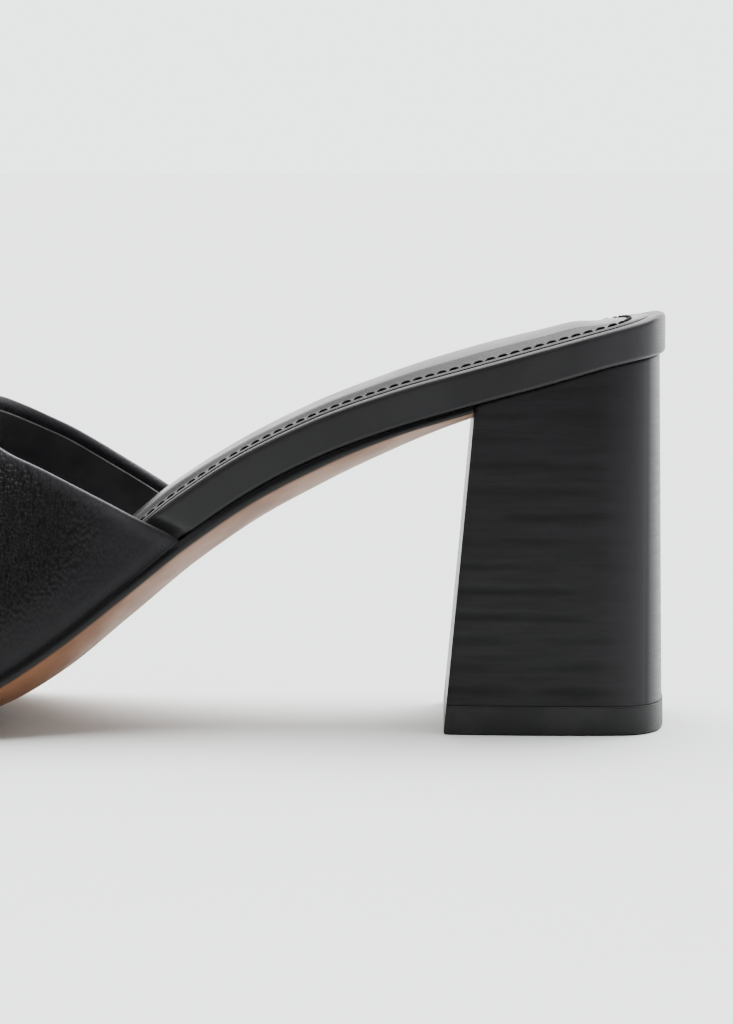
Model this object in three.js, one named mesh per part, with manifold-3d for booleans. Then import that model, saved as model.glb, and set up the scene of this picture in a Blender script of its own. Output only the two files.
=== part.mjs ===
// Block heel sandal: a right mule with an open toe, an open back and a stacked block heel.
// Millimetres, +Z up, the floor at Z = 0. The toe points to -X, the inner side of the foot is -Y.
// The origin is the middle of the heel's tread.
import * as THREE from 'three';
import { mergeVertices } from 'three/addons/utils/BufferGeometryUtils.js';
import Module from 'manifold-3d';

const wasm = await Module();
wasm.setup();

// Driving dimensions
const FOOTBED_LENGTH = 226; // level length from the back of the seat to the toe
const SEAT_WIDTH = 52;
const WAIST_WIDTH = 47;
const BALL_WIDTH = 77;
const HEEL_HEIGHT = 78.45; // from the floor to the underside of the footbed at its back
const TOE_SPRING = 7.5; // lift of the toe over the ball
const ARCH_CUP = 4; // rise of the inner rim over the middle at the waist
const INSTEP_HEIGHT = 102; // top of the foot where the instep leaves the vamp's line
const FOOTBED_THICKNESS = 7.15;
const WRAP_ROUND = 1.3; // rounding of the wrapped edge, above
const WRAP_ROUND_BELOW = 0.6;
const OUTSOLE_THICKNESS = 3.5;
const OUTSOLE_EDGE = 2; // thickness that shows at the side
const TREAD_WEAR = 0.8; // depth of the flat that the ball stands on
const SOCK_INSET = 3.7; // from the footbed's edge to the sock's edge
const SOCK_EDGE = 0.5;
const SOCK_CROWN = 2.3; // padding along the middle
const VAMP_WALL = 1.8;
const HEEL_INSET = 1; // from the footbed's edge to the heel's side
const BACK_INSET = 1.3; // from the footbed's back to the heel's back, under the footbed
const BACK_FLARE = 1.1; // how much further back the heel's back stands at the floor
const BREAST_TOP = 39.8; // from the footbed's back to the breast, under the footbed
const BREAST_FOOT = 46.2; // the same at the floor
const LIFT_THICKNESS = 6;
const LIFT_LIP = 0.35; // how far the lift stands out past the heel block
const CLEARANCE = 0.3; // between pieces that meet
const BACK_ROUND = 12.5; // length of the rounding at the back
const TOE_ROUND = 28; // length of the rounding at the toe

// Plan of the footbed. Along is a share of its length from the back, and inner and outer are the
// distances of the two edges from the middle line, as shares of the width that the row follows.
const PLAN = [
  { along: 0.0, width: SEAT_WIDTH, inner: 0.481, outer: 0.481 },
  { along: 0.066, width: SEAT_WIDTH, inner: 0.498, outer: 0.498 },
  { along: 0.111, width: SEAT_WIDTH, inner: 0.5, outer: 0.5 },
  { along: 0.177, width: SEAT_WIDTH, inner: 0.485, outer: 0.488 },
  { along: 0.265, width: WAIST_WIDTH, inner: 0.494, outer: 0.523 },
  { along: 0.376, width: WAIST_WIDTH, inner: 0.46, outer: 0.545 },
  { along: 0.442, width: WAIST_WIDTH, inner: 0.481, outer: 0.596 },
  { along: 0.531, width: BALL_WIDTH, inner: 0.356, outer: 0.429 },
  { along: 0.619, width: BALL_WIDTH, inner: 0.436, outer: 0.496 },
  { along: 0.69, width: BALL_WIDTH, inner: 0.482, outer: 0.518 },
  { along: 0.761, width: BALL_WIDTH, inner: 0.488, outer: 0.503 },
  { along: 0.84, width: BALL_WIDTH, inner: 0.47, outer: 0.44 },
  { along: 0.92, width: BALL_WIDTH, inner: 0.425, outer: 0.355 },
  { along: 1.0, width: BALL_WIDTH, inner: 0.375, outer: 0.26 },
];

// Side profile of the footbed's underside. Climb is a share of the heel's height over the ball,
// spring a share of the toe spring, and the cups are the rises of the rims, as shares of ARCH_CUP.
const PROFILE = [
  { along: 0.0, climb: 1.0, spring: 0, innerCup: 0.08, outerCup: -0.14 },
  { along: 0.05, climb: 0.966, spring: 0, innerCup: 0.09, outerCup: -0.11 },
  { along: 0.11, climb: 0.912, spring: 0, innerCup: 0.13, outerCup: 0.05 },
  { along: 0.18, climb: 0.844, spring: 0, innerCup: 0.31, outerCup: 0.28 },
  { along: 0.25, climb: 0.766, spring: 0, innerCup: 0.6, outerCup: 0.58 },
  { along: 0.32, climb: 0.674, spring: 0, innerCup: 0.84, outerCup: 0.78 },
  { along: 0.38, climb: 0.576, spring: 0, innerCup: 0.94, outerCup: 0.84 },
  { along: 0.44, climb: 0.449, spring: 0, innerCup: 1.0, outerCup: 0.74 },
  { along: 0.5, climb: 0.304, spring: 0, innerCup: 1.0, outerCup: 0.6 },
  { along: 0.56, climb: 0.168, spring: 0, innerCup: 0.98, outerCup: 0.46 },
  { along: 0.61, climb: 0.077, spring: 0, innerCup: 0.88, outerCup: 0.38 },
  { along: 0.66, climb: 0.018, spring: 0, innerCup: 0.64, outerCup: 0.28 },
  { along: 0.71, climb: 0, spring: 0, innerCup: 0.38, outerCup: 0.22 },
  { along: 0.77, climb: 0, spring: 0, innerCup: 0.2, outerCup: 0.18 },
  { along: 0.84, climb: 0, spring: 0.1, innerCup: 0.15, outerCup: 0.15 },
  { along: 0.92, climb: 0, spring: 0.44, innerCup: 0.15, outerCup: 0.15 },
  { along: 1.0, climb: 0, spring: 1.0, innerCup: 0.15, outerCup: 0.15 },
];

// Sections of the sole and the sock. Board is a share of FOOTBED_THICKNESS and edge one of
// OUTSOLE_EDGE, which is skived toward the heel. Bulge is the depth of the outsole's belly as a
// share of what OUTSOLE_THICKNESS has over OUTSOLE_EDGE, welt how far the outsole stands out from
// the footbed as a share of the vamp's wall and its gap, and crown the padding of the sock as a
// share of SOCK_CROWN.
const LAYERS = [
  { along: 0.0, board: 1.13, edge: 0.6, bulge: 0.2, welt: 0.0, crown: 0.1 },
  { along: 0.06, board: 0.996, edge: 0.6, bulge: 0.2, welt: 0.0, crown: 0.48 },
  { along: 0.083, board: 1.0, edge: 0.6, bulge: 0.4, welt: 0.0, crown: 0.95 },
  { along: 0.11, board: 1.013, edge: 0.6, bulge: 0.6, welt: 0.0, crown: 1.0 },
  { along: 0.155, board: 1.003, edge: 0.6, bulge: 0.7, welt: 0.0, crown: 1.14 },
  { along: 0.2, board: 1.0, edge: 0.6, bulge: 0.74, welt: 0.0, crown: 1.1 },
  { along: 0.26, board: 1.0, edge: 0.7, bulge: 0.98, welt: 0.0, crown: 0.91 },
  { along: 0.33, board: 1.0, edge: 1.0, bulge: 0.92, welt: 0.0, crown: 0.79 },
  { along: 0.4, board: 1.02, edge: 1.0, bulge: 0.82, welt: 0.1, crown: 0.82 },
  { along: 0.44, board: 1.05, edge: 1.0, bulge: 0.72, welt: 0.4, crown: 1.07 },
  { along: 0.5, board: 1.06, edge: 1.0, bulge: 0.92, welt: 0.8, crown: 1.25 },
  { along: 0.56, board: 1.06, edge: 1.0, bulge: 1.45, welt: 0.8, crown: 1.0 },
  { along: 0.61, board: 1.04, edge: 1.0, bulge: 1.5, welt: 0.85, crown: 0.88 },
  { along: 0.66, board: 1.02, edge: 1.0, bulge: 1.2, welt: 0.85, crown: 0.82 },
  { along: 0.7, board: 1.0, edge: 1.0, bulge: 1.0, welt: 0.85, crown: 0.73 },
  { along: 0.84, board: 1.0, edge: 1.0, bulge: 1.0, welt: 0.85, crown: 0.68 },
  { along: 0.92, board: 1.0, edge: 1.0, bulge: 0.9, welt: 0.5, crown: 0.5 },
  { along: 1.0, board: 1.0, edge: 1.0, bulge: 0.8, welt: 0.25, crown: 0.4 },
];

// Rear edge of the vamp. Around runs from its inner feather line (0) over the ridge (0.5) to the
// outer one (1), and along is the place of the edge as a share of the footbed's length.
const THROAT = [
  { around: 0.0, along: 0.4452 },
  { around: 0.037, along: 0.47 },
  { around: 0.103, along: 0.5106 },
  { around: 0.2, along: 0.5673 },
  { around: 0.25, along: 0.5953 },
  { around: 0.34, along: 0.63 },
  { around: 0.48, along: 0.654 },
  { around: 0.618, along: 0.6235 },
  { around: 0.67, along: 0.6069 },
  { around: 0.724, along: 0.5848 },
  { around: 0.778, along: 0.5579 },
  { around: 0.86, along: 0.5148 },
  { around: 0.9415, along: 0.4688 },
  { around: 1.0, along: 0.4363 },
];

// Front edge of the vamp, at the toe opening, read in the same way.
const MOUTH = [
  { around: 0.0, along: 0.905 },
  { around: 0.15, along: 0.882 },
  { around: 0.35, along: 0.844 },
  { around: 0.5, along: 0.83 },
  { around: 0.65, along: 0.832 },
  { around: 0.85, along: 0.854 },
  { around: 1.0, along: 0.868 },
];

// Sections of the vamp over the foot. Ridge is the height of its top as a share of INSTEP_HEIGHT,
// square the power of its rounding, and lean how far the ridge lies toward the inner side, as a
// share of the half width.
const VAMP_SECTIONS = [
  { along: 0.4, ridge: 1.04, square: 2.1, lean: 0.1 },
  { along: 0.475, ridge: 0.93, square: 2.1, lean: 0.12 },
  { along: 0.53, ridge: 0.84, square: 2.12, lean: 0.14 },
  { along: 0.6, ridge: 0.735, square: 2.15, lean: 0.16 },
  { along: 0.66, ridge: 0.65, square: 2.2, lean: 0.18 },
  { along: 0.71, ridge: 0.575, square: 2.25, lean: 0.18 },
  { along: 0.77, ridge: 0.485, square: 2.35, lean: 0.16 },
  { along: 0.82, ridge: 0.42, square: 2.45, lean: 0.13 },
  { along: 0.87, ridge: 0.365, square: 2.55, lean: 0.1 },
  { along: 0.92, ridge: 0.32, square: 2.6, lean: 0.08 },
];

// Smooth value of one column of a table, read at a place in its first column.
function smooth(table, key, column, at) {
  const last = table.length - 1;
  const place = Math.min(Math.max(at, table[0][key]), table[last][key]);
  let row = 0;
  while (row < last - 1 && table[row + 1][key] <= place) row += 1;
  const reach = (i) => table[i + 1][key] - table[i][key];
  const slope = (i) => (table[i + 1][column] - table[i][column]) / reach(i);
  const tangent = (i) => {
    if (i === 0) return slope(0);
    if (i === last) return slope(last - 1);
    return (slope(i - 1) * reach(i) + slope(i) * reach(i - 1)) / (reach(i - 1) + reach(i));
  };
  const t = (place - table[row][key]) / reach(row);
  const from = table[row][column] + t * (reach(row) * tangent(row) + 2 * table[row][column]);
  const to = table[row + 1][column] + (1 - t) * (2 * table[row + 1][column] - reach(row) * tangent(row + 1));
  return (1 - t) ** 2 * from + t ** 2 * to;
}

const layer = (column, u) => smooth(LAYERS, 'along', column, u / FOOTBED_LENGTH);
const profile = (column, u) => smooth(PROFILE, 'along', column, u / FOOTBED_LENGTH);

const EDGES = PLAN.map((row) => ({
  along: row.along,
  inner: row.inner * row.width,
  outer: row.outer * row.width,
}));
const halfWidth = (side, u) => smooth(EDGES, 'along', side, u / FOOTBED_LENGTH);

// Height of the footbed's underside along its middle line.
const BALL_BASE = OUTSOLE_THICKNESS + CLEARANCE - TREAD_WEAR;
const middleHeight = (u) =>
  BALL_BASE + profile('climb', u) * (HEEL_HEIGHT - BALL_BASE) + profile('spring', u) * TOE_SPRING;

// Where a place lies across the footbed: -1 is its inner rim and 1 its outer one.
const acrossAt = (u, y) => y / halfWidth(y < 0 ? 'inner' : 'outer', u);

// Height of the footbed's underside, which is rounded from rim to rim.
function underside(u, y) {
  const cup = profile(y < 0 ? 'innerCup' : 'outerCup', u);
  return middleHeight(u) + ARCH_CUP * cup * acrossAt(u, y) ** 2;
}

// How much longer a thickness square to the footbed's curve is when it is measured upright.
const SLOPE_STEP = 1;
function upright(u) {
  const rise = (middleHeight(u + SLOPE_STEP) - middleHeight(u - SLOPE_STEP)) / (2 * SLOPE_STEP);
  return Math.hypot(1, rise);
}

// Height of the footbed's top, which is level between its rims.
function bedTop(u, y) {
  const across = Math.min(Math.max(acrossAt(u, y), -1), 1);
  const outward = (1 + Math.sin((across * Math.PI) / 2)) / 2;
  const rim = profile('innerCup', u) * (1 - outward) + profile('outerCup', u) * outward;
  return middleHeight(u) + ARCH_CUP * rim + upright(u) * FOOTBED_THICKNESS * layer('board', u);
}

// Stations along a plan that stands out past the footbed's edge, or in from it. Each has its place
// u and the share of the width that the rounded ends leave there.
const STEPS = { end: 6, middle: 24 };
const BACK_POWER = 3;
const TOE_POWER = 2.4;
const END_TURN = 0.14; // the angle at which a rounded end starts, so that it keeps a short edge
function roundedEnd(length, power, steps) {
  return Array.from({ length: steps }, (_, i) => {
    const turn = END_TURN + (Math.PI / 2 - END_TURN) * (i / steps);
    return { depth: length * (1 - Math.cos(turn) ** (2 / power)), share: Math.sin(turn) ** (2 / power) };
  });
}

function stations(backOut, toeOut) {
  const back = roundedEnd(BACK_ROUND + backOut, BACK_POWER, STEPS.end)
    .map((s) => ({ u: s.depth - backOut, share: s.share }));
  const toe = roundedEnd(TOE_ROUND + toeOut, TOE_POWER, STEPS.end)
    .map((s) => ({ u: FOOTBED_LENGTH + toeOut - s.depth, share: s.share }))
    .reverse();
  const from = BACK_ROUND;
  const to = FOOTBED_LENGTH - TOE_ROUND;
  const middle = Array.from({ length: STEPS.middle + 1 }, (_, i) => ({
    u: from + ((to - from) * i) / STEPS.middle,
    share: 1,
  }));
  return [...back, ...middle, ...toe];
}

// A place on a plan. Side runs from -1 at the inner edge to 1 at the outer one. Fill is 0 at the
// edge all round and 1 along the middle.
function planPlace(at, side, out) {
  const half = side < 0 ? halfWidth('inner', at.u) : halfWidth('outer', at.u);
  return { u: at.u, y: side * (half + out) * at.share, fill: (1 - side ** 2) * at.share ** 2 };
}

// A closed block of cells, bent so that cell corner (i, j, k) goes to place(i, j, k).
function bentBlock(ni, nj, nk, place) {
  const geometry = new THREE.BoxGeometry(ni, nj, nk, ni, nj, nk);
  geometry.deleteAttribute('normal');
  geometry.deleteAttribute('uv');
  const merged = mergeVertices(geometry);
  const position = merged.getAttribute('position');
  for (let n = 0; n < position.count; n += 1) {
    const i = Math.round(position.getX(n) + ni / 2);
    const j = Math.round(position.getY(n) + nj / 2);
    const k = Math.round(position.getZ(n) + nk / 2);
    position.setXYZ(n, ...place(i, j, k));
  }
  return merged;
}

const solid = (geometry) =>
  new wasm.Manifold(
    new wasm.Mesh({
      numProp: 3,
      vertProperties: new Float32Array(geometry.getAttribute('position').array),
      triVerts: new Uint32Array(geometry.getIndex().array),
    })
  );

function geometryOf(manifold) {
  const mesh = manifold.getMesh();
  const geometry = new THREE.BufferGeometry();
  geometry.setAttribute('position', new THREE.BufferAttribute(new Float32Array(mesh.vertProperties), 3));
  geometry.setIndex(Array.from(mesh.triVerts));
  return geometry;
}

// The frame's X of a place u: the middle of the heel's tread is the origin.
const treadMiddle = (BREAST_FOOT + BACK_INSET - BACK_FLARE - LIFT_LIP) / 2;
const toX = (u) => treadMiddle - u;

// Cell corners across a layer, closer together near its edges.
const spread = (j, count) => Math.sin((Math.PI / 2) * ((2 * j) / count - 1));

// A layer of the sole over a row of stations, between two heights. Out is how far its edge stands
// out at a place, and rim how far that edge is drawn in at a level.
function soleLayer({ places, out, rim, bottom, top, across, levels }) {
  const count = places.length - 1;
  const middle = FOOTBED_LENGTH / 2;
  return bentBlock(count, across, levels, (i, j, k) => {
    const level = k / levels;
    const { u: edge, share } = places[count - i];
    const drawn = middle + (edge - middle) * (1 - rim(level) / middle);
    const { u, y, fill } = planPlace({ u: drawn, share }, spread(j, across), out(edge) - rim(level));
    const low = bottom(u, y, fill);
    return [toX(u), y, low + level * (top(u, y, fill) - low)];
  });
}

const finish = (color, roughness) => new THREE.MeshStandardMaterial({ color, roughness, metalness: 0 });

// Footbed: the insole board in its leather wrap, with rounded long edges.
function makeFootbed() {
  return soleLayer({
    places: stations(0, 0),
    out: () => 0,
    rim: (level) => (level > 0.5 ? WRAP_ROUND : WRAP_ROUND_BELOW) * (2 * level - 1) ** 4,
    bottom: underside,
    top: bedTop,
    across: 8,
    levels: 4,
  });
}

// Sock: the padded cover of the footbed.
function makeSock() {
  const rest = (u, y) => bedTop(u, y) + CLEARANCE;
  return soleLayer({
    places: stations(-SOCK_INSET, -SOCK_INSET),
    out: () => -SOCK_INSET,
    rim: () => 0,
    bottom: rest,
    top: (u, y, fill) => rest(u, y) + SOCK_EDGE + SOCK_CROWN * layer('crown', u) * fill,
    across: 8,
    levels: 1,
  });
}

// Place of the heel's breast at a height: it slopes from under the footbed to the floor.
const breast = (z) => BREAST_FOOT + (BREAST_TOP - BREAST_FOOT) * (z / middleHeight(BREAST_TOP));

// Outsole: it ends at the breast, carries the vamp on its welt, and its belly is worn flat where
// the ball treads.
function outsoleBottom(u, y, fill) {
  const belly = (OUTSOLE_THICKNESS - OUTSOLE_EDGE) * layer('bulge', u) * fill;
  return underside(u, y) - CLEARANCE - upright(u) * (OUTSOLE_EDGE * layer('edge', u) + belly);
}

function makeOutsole() {
  const welt = (u) => (VAMP_WALL + CLEARANCE) * layer('welt', u);
  const tail = breast(outsoleBottom(BREAST_TOP, 0, 1)) + CLEARANCE;
  const ahead = stations(0, welt(FOOTBED_LENGTH)).filter((station) => station.u > tail);
  return soleLayer({
    places: [{ u: tail, share: 1 }, ...ahead],
    out: welt,
    rim: () => 0,
    bottom: (u, y, fill) => Math.max(outsoleBottom(u, y, fill), 0),
    top: (u, y) => underside(u, y) - CLEARANCE,
    across: 10,
    levels: 1,
  });
}

// Heel: the seat's outline drawn in, closed by the sloping breast and flared at the back.
const HEEL_STEPS = { end: 6, middle: 5, across: 6 };
function heelStation(i, out, z) {
  const front = breast(z);
  const flared = BACK_INSET - HEEL_INSET - BACK_FLARE * (1 - z / HEEL_HEIGHT);
  const leaned = (u, share) => ({ u: u + flared * (1 - u / front), share });
  const rounded = roundedEnd(BACK_ROUND + out, BACK_POWER, HEEL_STEPS.end);
  if (i < HEEL_STEPS.end) return leaned(rounded[i].depth - out, rounded[i].share);
  const along = (i - HEEL_STEPS.end) / HEEL_STEPS.middle;
  return leaned(BACK_ROUND + (front - BACK_ROUND) * along, 1);
}

function heelLayer({ out, bottom, top, levels }) {
  const count = HEEL_STEPS.end + HEEL_STEPS.middle;
  return bentBlock(count, HEEL_STEPS.across, levels, (i, j, k) => {
    const heightAt = (u, y) => bottom + (k / levels) * (top(u, y) - bottom);
    const side = spread(j, HEEL_STEPS.across);
    const station = heelStation(count - i, out, heightAt(BREAST_TOP, 0));
    const { u, y } = planPlace(station, side, out);
    return [toX(u), y, heightAt(u, y)];
  });
}

function makeHeelBlock() {
  return heelLayer({
    out: -HEEL_INSET,
    bottom: LIFT_THICKNESS + CLEARANCE,
    top: (u, y) => underside(u, y) - CLEARANCE,
    levels: 3,
  });
}

function makeTopLift() {
  return heelLayer({
    out: LIFT_LIP - HEEL_INSET,
    bottom: 0,
    top: () => LIFT_THICKNESS,
    levels: 1,
  });
}

// Vamp: one walled band over the foot. Depth runs from 0 at its lining to 1 at its outside.
function vampPoint(along, around, depth) {
  const u = along * FOOTBED_LENGTH;
  const turn = Math.PI * around;
  const wall = VAMP_WALL * depth;
  const power = smooth(VAMP_SECTIONS, 'along', 'square', along);
  const inner = halfWidth('inner', u) + CLEARANCE + wall;
  const outer = halfWidth('outer', u) + CLEARANCE + wall;
  const ridgeY = -smooth(VAMP_SECTIONS, 'along', 'lean', along) * inner;
  const sweep = Math.sign(Math.cos(turn)) * Math.abs(Math.cos(turn)) ** (2 / power);
  const rise = Math.abs(Math.sin(turn)) ** (2 / power);
  const y = sweep > 0 ? ridgeY - sweep * (inner + ridgeY) : ridgeY - sweep * (outer - ridgeY);
  const feather = underside(u, y);
  const ridge = INSTEP_HEIGHT * smooth(VAMP_SECTIONS, 'along', 'ridge', along) - VAMP_WALL + wall;
  return [toX(u), y, feather + rise * (ridge - feather)];
}

function makeVamp() {
  const steps = { length: 20, girth: 36 };
  return bentBlock(steps.length, steps.girth, 1, (i, j, k) => {
    const around = j / steps.girth;
    const throat = smooth(THROAT, 'around', 'along', around);
    const mouth = smooth(MOUTH, 'around', 'along', around);
    return vampPoint(mouth + (throat - mouth) * (i / steps.length), around, k);
  });
}

function piece(name, geometry, material) {
  const mesh = new THREE.Mesh(geometryOf(solid(geometry)), material);
  mesh.name = name;
  return mesh;
}

const sandal = new THREE.Group();
sandal.add(
  piece('outsole', makeOutsole(), finish(0xb08a72, 0.35)),
  piece('footbed', makeFootbed(), finish(0x1d1d1e, 0.5)),
  piece('sock', makeSock(), finish(0x2a2a2b, 0.45)),
  piece('vamp', makeVamp(), finish(0x161617, 0.5)),
  piece('heel_block', makeHeelBlock(), finish(0x1b1b1c, 0.55)),
  piece('top_lift', makeTopLift(), finish(0x141414, 0.7))
);

export default sandal;
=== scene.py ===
"""Block heel sandal: a black leather mule with an open toe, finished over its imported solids."""

import math

import bmesh
import bpy
import numpy as np
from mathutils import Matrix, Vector


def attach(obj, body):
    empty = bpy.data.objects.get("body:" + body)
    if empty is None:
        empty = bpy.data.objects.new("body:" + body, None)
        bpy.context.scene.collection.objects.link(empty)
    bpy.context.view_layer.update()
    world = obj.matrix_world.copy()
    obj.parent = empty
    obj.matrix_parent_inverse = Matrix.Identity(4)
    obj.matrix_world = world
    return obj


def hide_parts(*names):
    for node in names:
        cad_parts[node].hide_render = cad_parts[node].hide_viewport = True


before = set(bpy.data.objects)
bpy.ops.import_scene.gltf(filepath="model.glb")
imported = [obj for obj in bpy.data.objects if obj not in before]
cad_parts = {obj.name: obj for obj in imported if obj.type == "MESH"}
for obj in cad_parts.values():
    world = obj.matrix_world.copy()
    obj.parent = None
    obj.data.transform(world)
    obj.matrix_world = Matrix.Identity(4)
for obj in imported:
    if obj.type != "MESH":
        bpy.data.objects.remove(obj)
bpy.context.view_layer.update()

bl_info = {
    "name": "Block heel sandal",
    "version": (1, 0, 0),
    "blender": (4, 5, 0),
    "location": "View3D > Sidebar > Sandal",
    "description": "Builds a right block heel mule over its packed solids",
    "category": "Add Mesh",
}

BODY = "root"


# Sizes and colours that a user would change


def length_size(name, description, default):
    """A length in metres."""
    return bpy.props.FloatProperty(
        name=name, description=description, default=default, min=0.0, unit="LENGTH", precision=5
    )


def paint(name, description, default):
    """A linear colour."""
    return bpy.props.FloatVectorProperty(
        name=name, description=description, default=default, size=3, min=0.0, max=1.0, subtype="COLOR"
    )


class SandalSizes(bpy.types.PropertyGroup):
    """Sizes of the last and of the pieces on it."""

    footbed_length: length_size("Footbed length", "Level length from seat to toe", 0.226)
    seat_width: length_size("Seat width", "Width of the footbed at the seat", 0.052)
    waist_width: length_size("Waist width", "Width of the footbed at the waist", 0.047)
    ball_width: length_size("Ball width", "Width of the footbed at the ball", 0.077)
    heel_height: length_size("Heel height", "Floor to the underside of the seat's back", 0.07845)
    toe_spring: length_size("Toe spring", "Lift of the toe over the ball", 0.0075)
    arch_cup: length_size("Arch cup", "Rise of the inner rim at the waist", 0.004)
    instep_height: length_size("Instep height", "Top of the instep behind the vamp", 0.102)
    footbed_thickness: length_size("Footbed thickness", "Board and wrap", 0.00715)
    wrap_round: length_size("Wrap rounding", "Radius of the wrapped edge", 0.0013)
    outsole_thickness: length_size("Outsole thickness", "At the ball", 0.0035)
    outsole_edge: length_size("Outsole edge", "Thickness that shows at the side", 0.0020)
    tread_wear: length_size("Tread wear", "Depth of the flat under the ball", 0.0008)
    sock_inset: length_size("Sock inset", "Footbed's edge to the sock's edge", 0.0037)
    sock_edge: length_size("Sock edge", "Thickness of the sock's margin", 0.0005)
    sock_crown: length_size("Sock crown", "Padding along the middle", 0.0023)
    vamp_wall: length_size("Vamp wall", "Leather and lining together", 0.0018)
    heel_inset: length_size("Heel inset", "Footbed's edge to the heel's side", 0.001)
    back_inset: length_size("Back inset", "Footbed's back to the heel's back, above", 0.0013)
    back_flare: length_size("Back flare", "How much further back it stands at the floor", 0.0011)
    breast_top: length_size("Breast top", "Back of the footbed to the breast, above", 0.0398)
    breast_foot: length_size("Breast foot", "The same at the floor", 0.0462)
    lift_thickness: length_size("Lift thickness", "Rubber top lift", 0.006)
    lift_lip: length_size("Lift lip", "Lift past the heel block", 0.00035)
    clearance: length_size("Clearance", "Between pieces that meet", 0.0003)
    back_round: length_size("Back rounding", "Length of the rounded back", 0.0125)
    toe_round: length_size("Toe rounding", "Length of the rounded toe", 0.028)
    stitch_margin: length_size("Stitch margin", "Sock's edge to its stitches", 0.0026)
    stitch_pitch: length_size("Stitch pitch", "From stitch to stitch", 0.0026)
    hem: length_size("Hem", "Topline to the edge of the lining", 0.0017)
    lining: length_size("Lining", "Thickness of the vamp's lining", 0.0004)
    heel_layer: length_size("Heel layer", "Thickness of one layer of the stack", 0.0052)


class SandalColours(bpy.types.PropertyGroup):
    """Colours of the leathers and the rubber."""

    vamp: paint("Vamp", "Grained upper leather", (0.0050, 0.0047, 0.0054))
    wrap: paint("Wrap", "Smooth leather round the footbed", (0.0155, 0.0147, 0.0162))
    sock: paint("Sock", "Leather of the padded sock", (0.0110, 0.0105, 0.0114))
    lining: paint("Lining", "Lining of the vamp", (0.0800, 0.0770, 0.0840))
    raw_edge: paint("Raw edge", "Cut edge of the lining", (0.3400, 0.3300, 0.3200))
    thread: paint("Thread", "Sock stitches", (0.0025, 0.0025, 0.0025))
    tan: paint("Tan", "Outsole leather", (0.2550, 0.1080, 0.0480))
    edge_dye: paint("Edge dye", "Dyed edge of the outsole", (0.0100, 0.0101, 0.0108))
    stack: paint("Stack", "Stacked leather of the heel", (0.0105, 0.0099, 0.0112))
    rubber: paint("Rubber", "Top lift", (0.0150, 0.0144, 0.0156))
    floor: paint("Floor", "Studio floor", (0.7800, 0.8150, 0.7980))
    backdrop: paint("Backdrop", "Studio backdrop", (0.9000, 1.0000, 0.9480))


class SandalStage(bpy.types.PropertyGroup):
    """Where the photograph was taken from."""

    camera_ahead: length_size("Camera ahead", "Camera from the back of the footbed", 0.04743)
    camera_away: length_size("Camera away", "Camera from the middle line", 0.8405)
    camera_height: length_size("Camera height", "Camera over the floor", 0.12309)
    yaw: bpy.props.FloatProperty(
        name="Yaw", description="Turn toward the toe", default=math.radians(1.024), subtype="ANGLE"
    )
    pitch: bpy.props.FloatProperty(
        name="Pitch", description="Tilt toward the floor", default=math.radians(5.383), subtype="ANGLE"
    )
    focal_length: bpy.props.FloatProperty(
        name="Focal length", description="Lens, in millimetres", default=140.625, unit="CAMERA"
    )
    backdrop_strength: bpy.props.FloatProperty(
        name="Backdrop strength", description="Light of the pale backdrop", default=3.35, min=0.0
    )
    room_dim: bpy.props.FloatProperty(
        name="Room dimness", description="Light from the camera's side", default=0.25, min=0.0
    )
    overhead_power: bpy.props.FloatProperty(
        name="Overhead power", description="Broad light from above", default=10.2, min=0.0
    )
    overhead_spread: bpy.props.FloatProperty(
        name="Overhead spread", description="Its width", default=math.radians(66.0), subtype="ANGLE"
    )
    sensor_size: bpy.props.FloatProperty(
        name="Sensor size", description="Its long side, in millimetres", default=36.0, unit="CAMERA"
    )


# Tables of the last, as shares of the named sizes


def table(columns, *rows):
    """Named columns, one row for each section."""
    names = columns.split()
    return {name: [row[i] for row in rows] for i, name in enumerate(names)}


# Plan of the footbed. Inner and outer are its edges' distances from the middle line, as shares of
# the width that the row follows.
PLAN = table(
    "along width inner outer",
    (0.0, "seat_width", 0.481, 0.481),
    (0.066, "seat_width", 0.498, 0.498),
    (0.111, "seat_width", 0.5, 0.5),
    (0.177, "seat_width", 0.485, 0.488),
    (0.265, "waist_width", 0.494, 0.523),
    (0.376, "waist_width", 0.46, 0.545),
    (0.442, "waist_width", 0.481, 0.596),
    (0.531, "ball_width", 0.356, 0.429),
    (0.619, "ball_width", 0.436, 0.496),
    (0.69, "ball_width", 0.482, 0.518),
    (0.761, "ball_width", 0.488, 0.503),
    (0.84, "ball_width", 0.47, 0.44),
    (0.92, "ball_width", 0.425, 0.355),
    (1.0, "ball_width", 0.375, 0.26),
)

# Side profile of the footbed's underside: climb is a share of the heel's height over the ball.
PROFILE = table(
    "along climb spring inner_cup outer_cup",
    (0.0, 1.0, 0, 0.08, -0.14),
    (0.05, 0.966, 0, 0.09, -0.11),
    (0.11, 0.912, 0, 0.13, 0.05),
    (0.18, 0.844, 0, 0.31, 0.28),
    (0.25, 0.766, 0, 0.6, 0.58),
    (0.32, 0.674, 0, 0.84, 0.78),
    (0.38, 0.576, 0, 0.94, 0.84),
    (0.44, 0.449, 0, 1.0, 0.74),
    (0.5, 0.304, 0, 1.0, 0.6),
    (0.56, 0.168, 0, 0.98, 0.46),
    (0.61, 0.077, 0, 0.88, 0.38),
    (0.66, 0.018, 0, 0.64, 0.28),
    (0.71, 0, 0, 0.38, 0.22),
    (0.77, 0, 0, 0.2, 0.18),
    (0.84, 0, 0.1, 0.15, 0.15),
    (0.92, 0, 0.44, 0.15, 0.15),
    (1.0, 0, 1.0, 0.15, 0.15),
)

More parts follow.
